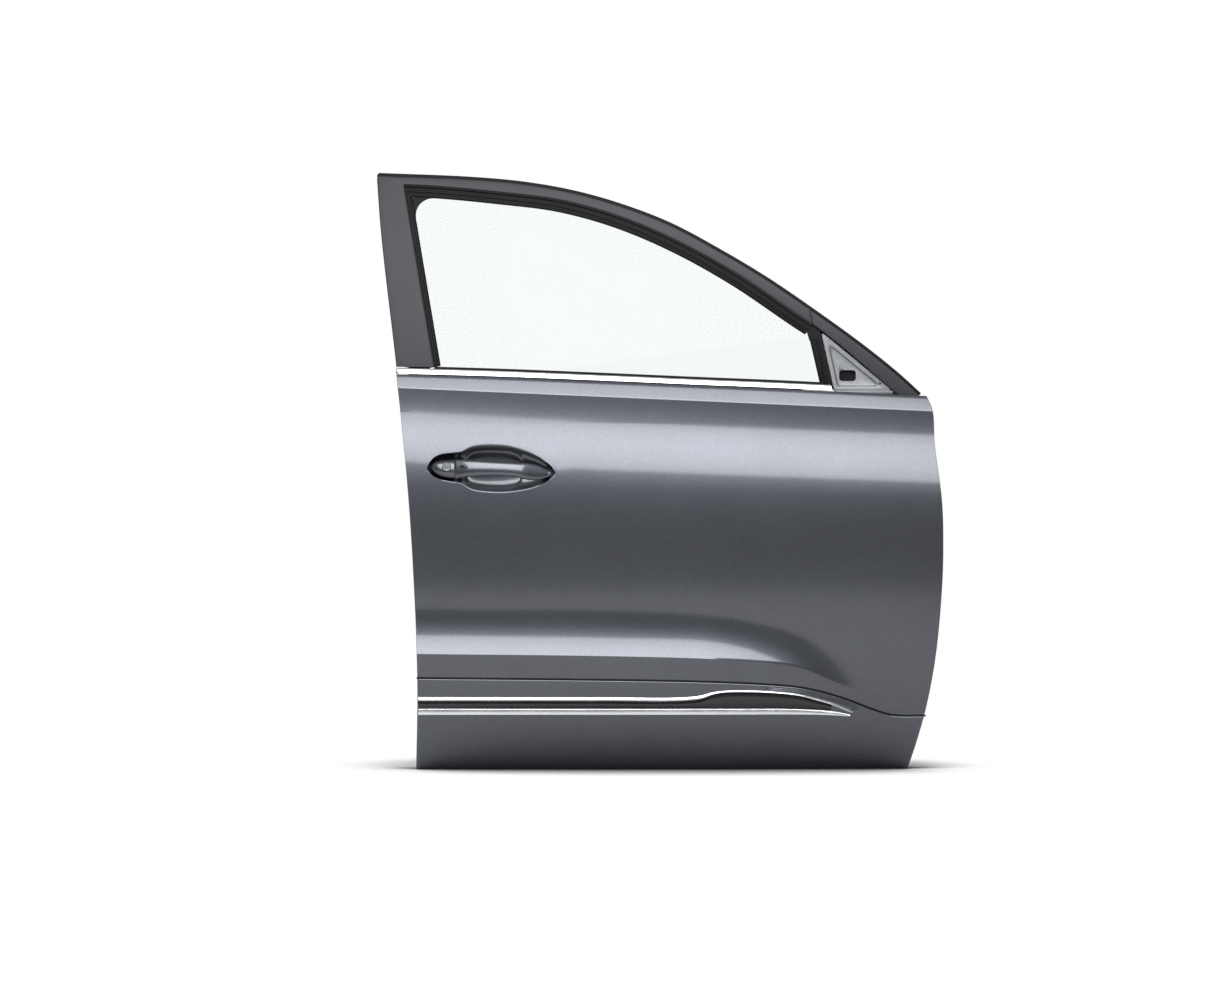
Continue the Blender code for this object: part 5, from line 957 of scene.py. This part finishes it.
def shrink(corners, distance):
    corners = [Vector(corner) for corner in corners]
    sides = [(corners[(k + 1) % 3] - corners[k]).length for k in range(3)]
    centre = (corners[0] * sides[1] + corners[1] * sides[2] + corners[2] * sides[0]) / sum(sides)
    spread = (corners[1] - corners[0]).cross(corners[2] - corners[0])
    inner_radius = abs(spread) / sum(sides)
    return [centre + (corner - centre) * (1 - distance / inner_radius) for corner in corners]


def rounded_triangle(corners, radius, steps=9):
    """Outline with each corner rounded: the curve from one side to the next, in equal steps."""
    outline = []
    corners = [Vector(corner) for corner in corners]
    for k, corner in enumerate(corners):
        back, ahead = corners[k - 1] - corner, corners[(k + 1) % 3] - corner
        reach = radius / math.tan(back.angle(ahead) / 2)
        a, b = corner + back.normalized() * reach, corner + ahead.normalized() * reach
        for t in np.linspace(0, 1, steps):
            outline.append(a * (1 - t) ** 2 + corner * (2 * t * (1 - t)) + b * t**2)
    return outline


def bored(obj, *tools):
    """Cuts the tools out of the piece and takes them away."""
    for tool in tools:
        cut = obj.modifiers.new("cut", "BOOLEAN")
        cut.solver = "EXACT"
        cut.object = tool
    graph = bpy.context.evaluated_depsgraph_get()
    mesh = bpy.data.meshes.new_from_object(obj.evaluated_get(graph))
    obj.modifiers.clear()
    obj.data = mesh
    for tool in tools:
        bpy.data.objects.remove(tool)
    return smooth(obj, 30)


def turned(name, profile, centre, sides=48):
    """A turned piece about a line along Y: profile as (radius, y) in mm, first and last on the axis."""
    x, y, z = centre
    points, faces = [(x, y + profile[0][1] * MM, z)], []
    for radius, back in profile[1:-1]:
        for k in range(sides):
            angle = 2 * math.pi * k / sides
            points.append(
                (x + radius * MM * math.cos(angle), y + back * MM, z + radius * MM * math.sin(angle)))
    points.append((x, y + profile[-1][1] * MM, z))
    last, rings = len(points) - 1, len(profile) - 2
    for k in range(sides):
        n = (k + 1) % sides
        faces.append((0, 1 + k, 1 + n))
        faces.append((last, 1 + (rings - 1) * sides + n, 1 + (rings - 1) * sides + k))
        for r in range(rings - 1):
            a = 1 + r * sides
            faces.append((a + k, a + sides + k, a + sides + n, a + n))
    return smooth(mesh_from(name, points, faces), 30)


def bar(name, low, high, bevel=0.0008):
    """A rounded block between two corners."""
    bm = bmesh.new()
    bmesh.ops.create_cube(bm, size=1.0)
    low, high = Vector(low), Vector(high)
    bmesh.ops.scale(bm, vec=high - low, verts=bm.verts)
    bmesh.ops.translate(bm, vec=(low + high) / 2, verts=bm.verts)
    if bevel:
        bmesh.ops.bevel(
            bm, geom=bm.edges[:] + bm.verts[:], offset=bevel, segments=3, profile=0.5, affect="EDGES")
    mesh = bpy.data.meshes.new(name)
    bm.to_mesh(mesh)
    bm.free()
    return smooth(placed(name, mesh), 35)


MIRROR_LIP = 13.0
MIRROR_STEPS = (
    (0.0, MIRROR_LIP), (0.0, 1.2), (0.4, 0.35), (1.4, 0.0), (7.6, 0.0), (8.6, 0.5), (9.2, 1.5), (10.6, 5.6),
    (11.4, 6.6), (12.6, 7.0),
)
MIRROR_HOLES = ((0.3405, 0.856, 2.3), (0.444, 0.768, 2.8))
MIRROR_MIDDLE = (0.372, 0.792)
MIRROR_SHEET = 0.0014
STUD_HOLE = (0.3655, 0.801, 3.4)
SLOT_LOW, SLOT_HIGH = (0.3625, 0.774), (0.396, 0.796)
SLOT_MIDDLE = (0.379, 0.785)
SLOT_ROUND = 0.0065


def make_bracket():
    """The pressing's front as rings that step in from its edge, made into a sheet and bored."""
    rings = []
    for inset, back in MIRROR_STEPS:
        corners = shrink(MIRROR_CORNERS, inset * MM)
        rings.append([mirror_face(p.x, p.y, back * MM) for p in rounded_triangle(corners, 0.005 + inset * 0.00015)])
    count = len(rings[0])
    points = [p for ring in rings for p in ring] + [mirror_face(*MIRROR_MIDDLE, MIRROR_STEP)]
    faces = []
    for r in range(len(rings) - 1):
        for c in range(count):
            a, b = r * count + c, r * count + (c + 1) % count
            faces.append((a, b, b + count, a + count))
    for c in range(count):
        faces.append(
            ((len(rings) - 1) * count + c, (len(rings) - 1) * count + (c + 1) % count, len(points) - 1))
    made = mesh_from("bracket_pressing", points, faces)
    bm = bmesh.new()
    bm.from_mesh(made.data)
    if sum(face.normal.y * face.calc_area() for face in bm.faces) > 0:
        bmesh.ops.reverse_faces(bm, faces=bm.faces)
    bm.to_mesh(made.data)
    bm.free()
    sheet = made.modifiers.new("sheet", "SOLIDIFY")
    sheet.thickness = MIRROR_SHEET
    sheet.offset = -1.0
    tools = []
    for x, z, radius in (*MIRROR_HOLES, STUD_HOLE):
        place = mirror_face(x, z)
        tools.append(turned("hole_tool", ((0, -12), (radius, -12), (radius, 20), (0, 20)), place))
    floor_y = mirror_face(*SLOT_MIDDLE, MIRROR_STEP).y
    low, high = (SLOT_LOW[0], floor_y - 0.01, SLOT_LOW[1]), (SLOT_HIGH[0], floor_y + 0.01, SLOT_HIGH[1])
    return bored(made, *tools, bar("slot_tool", low, high, SLOT_ROUND))


dress(make_bracket(), "door", "primed_steel", "mirror_bracket")

LIP_LOW, LIP_HIGH = (0.3535, 0.7475), (0.4735, 0.7552)
LIP_BACK = (-0.0004, 0.008)


def make_lower_lip():
    """Lip of the bracket along the foot of its opening."""
    face = mirror_face(0.41, 0.751).y
    (x0, z0), (x1, z1) = LIP_LOW, LIP_HIGH
    return bar("bracket_lower_lip", (x0, face + LIP_BACK[0], z0), (x1, face + LIP_BACK[1], z1), 0.0015)


dress(make_lower_lip(), "door", "primed_steel")

GASKET = (
    (0.329, 0.88), (0.3262, 0.873), (0.3525, 0.756), (0.3535, 0.743), (0.498, 0.743), (0.498, 0.75),
    (0.476, 0.76),
)
GASKET_BACK = (8.6, 19.5)
GASKET_POCKET = ((0.362, -0.04, 0.775), (0.396, -0.0061, 0.795))


def make_gasket():
    """Moulded rubber behind the mirror bracket, with a pocket so that it stays out of the box of the slot's
    opening."""
    rings = [[mirror_face(x, z, back * MM) for x, z in GASKET] for back in GASKET_BACK]
    return bored(loft("bracket_gasket", rings, 30), bar("pocket_tool", *GASKET_POCKET, 0.0))


dress(make_gasket(), "door", "black_rubber")

for number, ((x, z, radius), back) in enumerate(zip(MIRROR_HOLES, (0.0, MIRROR_STEP))):
    bore, rim = radius - 0.1, radius + 1.5
    profile = ((0, 1.5), (bore, 1.5), (bore, -0.9), (rim, -0.7), (rim, 0.4), (0, 1.6))
    nut = turned(f"bracket_rivet_nut_{number + 1}", profile, mirror_face(x, z, back))
    dress(nut, "door", "zinc_plated_steel")


# Belt moulding with a slanted front end, and its rubber lip

BELT_XS = np.linspace(-0.5225, 0.347, 90)
BELT_PROFILE = (
    (1.0, 0.2), (1.2, -1.0), (2.0, -1.7), (4.0, -1.5), (7.0, -0.5), (10.0, 1.0), (12.0, 2.6), (13.0, 4.2),
    (13.2, 5.4), (12.4, 6.4), (1.0, 6.5),
)
BELT_HEART = (7.0, 3.0)
BELT_END_SLANT = 0.22


def belt_ring(x, grow=1.0):
    """Section of the moulding, drawn in about its heart where grow is below 1."""
    z = float(belt_line(x))
    y = float(skin_y(x, z))
    up, back = BELT_HEART
    return [(x, y + (back + (b - back) * grow) * MM, z + (up + (u - up) * grow) * MM) for u, b in BELT_PROFILE]


def make_belt():
    rings = [belt_ring(BELT_XS[0] - 0.001, 0.8)] + [belt_ring(x) for x in BELT_XS[:-1]]
    foot = float(belt_line(BELT_XS[-1]))
    slanted = [(x - (z - foot) * BELT_END_SLANT + 0.0008, y, z) for x, y, z in belt_ring(BELT_XS[-1])]
    return loft("belt_strip", rings + [slanted], 40)


dress(make_belt(), "door", "bright_chrome", "belt_moulding")

BELT_LIP_XS = np.linspace(-0.447, 0.331, 80)
BELT_LIP_CLEARANCE = 0.4


def make_belt_lip():
    """Rubber lip of the moulding, from its top to just off the glass."""
    rings = []
    for x in BELT_LIP_XS:
        z = float(belt_line(x))
        front = float(skin_y(x, z)) + 4.6 * MM
        ring = [(x, front, z + 10.0 * MM), (x, front, z + 16.2 * MM), (x, front + 1.2 * MM, z + 17.4 * MM)]
        for up in (17.0, 15.0, 10.0):
            ring.append((x, float(glass_y(x, z + up * MM)) - BELT_LIP_CLEARANCE * MM, z + up * MM))
        rings.append(ring)
    return loft("belt_lip", rings, 40)


dress(make_belt_lip(), "door", "black_rubber")


# Outside handle: grip, cap and key lock

GRIP_MIDDLE = curve_through(
    ((-0.4035, 0.5975), (-0.376, 0.599), (-0.284, 0.596), (-0.255, 0.592), (-0.217, 0.588)))
GRIP_HALF_HEIGHT = curve_through((
    (-0.4035, 0.0192), (-0.376, 0.017), (-0.31, 0.0142), (-0.284, 0.0142), (-0.26, 0.0165),
    (-0.235, 0.0135), (-0.217, 0.005)))
GRIP_STAND = curve_through(
    ((-0.4035, 0.0165), (-0.376, 0.0235), (-0.31, 0.03), (-0.275, 0.027), (-0.245, 0.017), (-0.217, 0.0065)))
GRIP_THICK = curve_through(
    ((-0.4035, 0.015), (-0.376, 0.016), (-0.31, 0.015), (-0.275, 0.0145), (-0.245, 0.0125), (-0.217, 0.005)))
CAP_MIDDLE = curve_through(((-0.4495, 0.6014), (-0.43, 0.5985), (-0.4055, 0.5975)))
CAP_HALF_HEIGHT = curve_through(
    ((-0.4495, 0.005), (-0.446, 0.0095), (-0.438, 0.014), (-0.425, 0.0172), (-0.4055, 0.0192)))
CAP_STAND = curve_through(((-0.4495, 0.007), (-0.438, 0.0115), (-0.4055, 0.0163)))
LOCK_PLACE = (-0.421, 0.6018)
GRIP_PIVOT_X = -0.2275
GRIP_LEG_X = -0.391
HANDLE_SIDES = 48


def base_y(x):
    """Y of the skin at the handle, as if it had no recess."""
    return float(skin_y(x, float(recess_centre(x))))


def grip_front(x):
    return base_y(x) - float(GRIP_STAND(x))


HANDLE_LEAN = math.tan(math.radians(9))
HANDLE_SQUARENESS = 2.15


def oval_ring(x, front, back, middle, half, size):
    """Section of the handle, leaning back at its top like the skin behind it."""
    ring = []
    for angle in (np.arange(HANDLE_SIDES) + 0.5) * 2 * math.pi / HANDLE_SIDES:
        c, s = math.cos(angle), math.sin(angle)
        u = math.copysign(abs(c) ** (2 / HANDLE_SQUARENESS), c)
        v = math.copysign(abs(s) ** (2 / HANDLE_SQUARENESS), s)
        rise = u * half * size
        ring.append(
            (x, (front + back) / 2 + v * (back - front) / 2 * size + rise * HANDLE_LEAN, middle + rise))
    return ring


def handle_loft(name, xs, ring_at, start_round, end_round):
    """A handle body with its two ends rounded by the given lengths."""
    rings = []
    for angle in np.linspace(0.05, math.pi / 2, 6):
        step = start_round * (1 - math.sin(angle))
        rings.append(ring_at(xs[0] - step, 1 - step / 0.012, xs[0]))
    rings += [ring_at(x, 1.0, x) for x in xs[1:-1]]
    for angle in np.linspace(math.pi / 2, 0.05, 8):
        rings.append(ring_at(xs[-1] + end_round * math.cos(angle), max(0.05, math.sin(angle)), xs[-1]))
    return loft(name, rings, 50)


def grip_ring(x, size, source):
    front = grip_front(source)
    back = front + float(GRIP_THICK(source))
    return oval_ring(x, front, back, float(GRIP_MIDDLE(source)), float(GRIP_HALF_HEIGHT(source)), size)


def cap_ring(x, size, source):
    front, middle = base_y(source) - float(CAP_STAND(source)), float(CAP_MIDDLE(source))
    seat = float(skin_y(source, middle, True)) - 0.0015
    return oval_ring(x, front, seat, middle, float(CAP_HALF_HEIGHT(source)), size)


def grip_bar(name, x, half, front, reach):
    """A bar that runs back from the grip: from a depth behind its face to a distance behind the skin."""
    z = float(GRIP_MIDDLE(x))
    low, high = (x - half, grip_front(x) + front, z - 0.006), (x + half, base_y(x) + reach, z + 0.006)
    return dress(bar(name, low, high), "grip", "black_plastic")


strap = handle_loft("grip_strap", np.linspace(-0.403, -0.217, 70), grip_ring, 0.0009, 0.0035)
dress(strap, "grip", "gunmetal_paint", "handle_grip")
grip_bar("grip_leg_piece", GRIP_LEG_X, 0.007, 0.006, 0.04)
grip_bar("grip_arm_piece", GRIP_PIVOT_X, 0.006, 0.005, 0.024)

SENSOR_X = -0.386
SENSOR_LOW, SENSOR_HIGH = (-0.394, 0.599), (-0.3785, 0.6048)
SENSOR_BACK = (-0.0009, 0.004)


def make_sensor():
    """Window in the grip's face: a block whose points follow the face of the grip."""
    face = grip_front(SENSOR_X)
    (x0, z0), (x1, z1) = SENSOR_LOW, SENSOR_HIGH
    made = bar("sensor_window", (x0, face + SENSOR_BACK[0], z0), (x1, face + SENSOR_BACK[1], z1), 0.0019)
    for vertex in made.data.vertices:
        x, z = vertex.co.x, vertex.co.z
        vertex.co.y += grip_front(x) - face + (z - float(GRIP_MIDDLE(x))) * HANDLE_LEAN
    return made


dress(make_sensor(), "grip", "gloss_black_plastic")

lock_front = base_y(LOCK_PLACE[0]) - float(CAP_STAND(LOCK_PLACE[0]))
lock_centre = (LOCK_PLACE[0], lock_front, LOCK_PLACE[1])
LOCK_BORE = ((0, -20), (9.0, -20), (9.0, 10), (0, 10))
LOCK_PROFILE = (
    (0, 3.6), (5.8, 3.6), (6.1, 2.7), (7.0, 2.4), (7.9, 2.5), (8.4, 3.0), (8.6, 3.8), (8.6, 33), (0, 33)
)
KEYWAY_HALF = (0.0045, 0.0008)
KEYWAY_DEPTH = (-0.002, 0.007)


def make_cap():
    blank = handle_loft("cap_shell", np.linspace(-0.4495, -0.4058, 40)[::-1], cap_ring, -0.0009, -0.0012)
    return bored(blank, turned("bore_tool", LOCK_BORE, lock_centre))


def make_lock():
    (x, z), (across, up), (front, back) = LOCK_PLACE, KEYWAY_HALF, KEYWAY_DEPTH
    blank = turned("lock_barrel", LOCK_PROFILE, lock_centre, 64)
    low, high = (x - across, lock_front + front, z - up), (x + across, lock_front + back, z + up)
    return bored(blank, bar("keyway_tool", low, high, 0.0))


dress(make_cap(), "door", "gunmetal_paint", "handle_cap")
dress(make_lock(), "lock", "zinc_plated_steel", "lock_cylinder")


# Other solids keep their shape and take the finish of their slot

for node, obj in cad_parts.items():
    for place in obj.material_slots:
        if place.material and place.material.name in FINISHES:
            place.material = FINISHES[place.material.name]


# Studio: white surroundings, a pale floor and one wide soft lamp in front and above

FLOOR_HALF = 30.0
FLOOR_LEVEL = -0.0004
FLOOR_NEAR, FLOOR_FAR = 0.52, 0.7
FLOOR_DEPTH_SHARE = 0.8
CONTACT_REACH = 0.6
CONTACT_OPEN = (0.46, 0.92)
# Floor tones: the first is a painted contact shadow, laid where the floor is least open to the sky; the second is
# the floor's own pale tone
PAINTED_CONTACT_SHADE, FLOOR_TONE = "303032", "E8E8E8"


def math_of(tree, operation, first, second):
    return add(tree, "Math", {"operation": operation}, {0: first, 1: second}).outputs["Value"]


def smooth_step(tree, value, start, end):
    return add(tree, "MapRange", {
        "interpolation_type": "SMOOTHSTEP", "From Min": start, "From Max": end}, {"Value": value}).outputs["Result"]


def seen_by(tree, ray):
    """1 for rays from the camera, straight or through glass."""
    return math_of(tree, "MAXIMUM", ray.outputs["Is Camera Ray"], ray.outputs["Is Transmission Ray"])


def studio_floor():
    """Matt floor with a painted contact shadow: its colour is darkest where it is least open to the sky, and it
    runs out to the background's white.
    """
    mesh = bpy.data.meshes.new("floor")
    corners = [(x * FLOOR_HALF, y * FLOOR_HALF, FLOOR_LEVEL) for x, y in ((-1, -1), (1, -1), (1, 1), (-1, 1))]
    mesh.from_pydata(corners, [], [(0, 1, 2, 3)])
    made, tree, shader = finish_of("matt_white_floor", {"Roughness": 0.9, "Specular IOR Level": 0.1})
    oval = add(tree, "VectorMath", {
        "operation": "MULTIPLY", 1: (1.0, FLOOR_DEPTH_SHARE, 0.0)}, {0: position(tree)})
    away = add(tree, "VectorMath", {"operation": "LENGTH"}, {0: oval.outputs["Vector"]})
    open_sky = add(tree, "AmbientOcclusion", {"Distance": CONTACT_REACH, "samples": 12})
    # Painted contact shadow: the floor's colour darkens towards the door by its ambient occlusion
    painted_contact_shadow = smooth_step(tree, open_sky.outputs["AO"], *CONTACT_OPEN)
    blended_colour(tree, shader, painted_contact_shadow, PAINTED_CONTACT_SHADE, FLOOR_TONE)
    far = smooth_step(tree, away.outputs["Value"], FLOOR_NEAR, FLOOR_FAR)
    ray = add(tree, "LightPath")
    share = math_of(tree, "MULTIPLY", far, seen_by(tree, ray))
    white = add(tree, "Emission", {"Strength": 1.0})
    mix = add(
        tree, "MixShader", {}, {0: share, 1: shader.outputs["BSDF"], 2: white.outputs["Emission"]})
    tree.links.new(mix.outputs["Shader"], tree.nodes["Material Output"].inputs["Surface"])
    mesh.materials.append(made)
    return placed("floor", mesh)


LAMP_RADIANCE = 6.7
LAMP_SIZE = (3.4, 2.64)
LAMP_DISTANCE = 3.0
LAMP_HEIGHT = math.radians(42.0)
LAMP_AIM = Vector((-0.25, 0.0, 0.55))


def soft_lamp():
    """One wide soft box in front of the door and above it: its image is the bright band along the shoulder."""
    data = bpy.data.lights.new("soft_box", "AREA")
    data.shape = "RECTANGLE"
    data.size, data.size_y = LAMP_SIZE
    data.energy = LAMP_RADIANCE * math.pi * LAMP_SIZE[0] * LAMP_SIZE[1]
    obj = placed("soft_box", data)
    toward = Vector((0.0, math.cos(LAMP_HEIGHT), -math.sin(LAMP_HEIGHT)))
    obj.location = LAMP_AIM - toward * LAMP_DISTANCE
    obj.rotation_euler = toward.to_track_quat("-Z", "Y").to_euler()


ROOM_LIGHT = 0.18
ROOM_FRONT = 0.28
ROOM_BEHIND = 0.75


def white_studio():
    """White background, also through glass and in what mirrors it. It lights the door dimly from in front and more
    from behind."""
    world = bpy.data.worlds.new("white_studio")
    world.use_nodes = True
    bpy.context.scene.world = world
    tree = world.node_tree
    background = tree.nodes["Background"]
    background.inputs["Color"].default_value = (1.0, 1.0, 1.0, 1.0)
    ray = add(tree, "LightPath")
    clear = seen_by(tree, ray)
    toward = add(tree, "TexCoord").outputs["Generated"]
    across = add(tree, "SeparateXYZ", {}, {"Vector": toward}).outputs["Y"]
    behind = add(tree, "MapRange", {
        "From Min": -0.5, "From Max": 0.5, "To Min": ROOM_FRONT, "To Max": 1.0}, {"Value": across})
    mirrored = math_of(tree, "MULTIPLY", behind.outputs["Result"], ray.outputs["Is Glossy Ray"])
    white = math_of(tree, "MAXIMUM", clear, mirrored)
    room = add(tree, "MapRange", {
        "From Min": 0.0, "From Max": 0.7, "To Min": ROOM_LIGHT, "To Max": ROOM_BEHIND}, {"Value": across})
    level = math_of(tree, "MAXIMUM", white, room.outputs["Result"])
    tree.links.new(level, background.inputs["Strength"])


floor = studio_floor()
soft_lamp()
white_studio()
bpy.context.scene.view_settings.view_transform = "Standard"
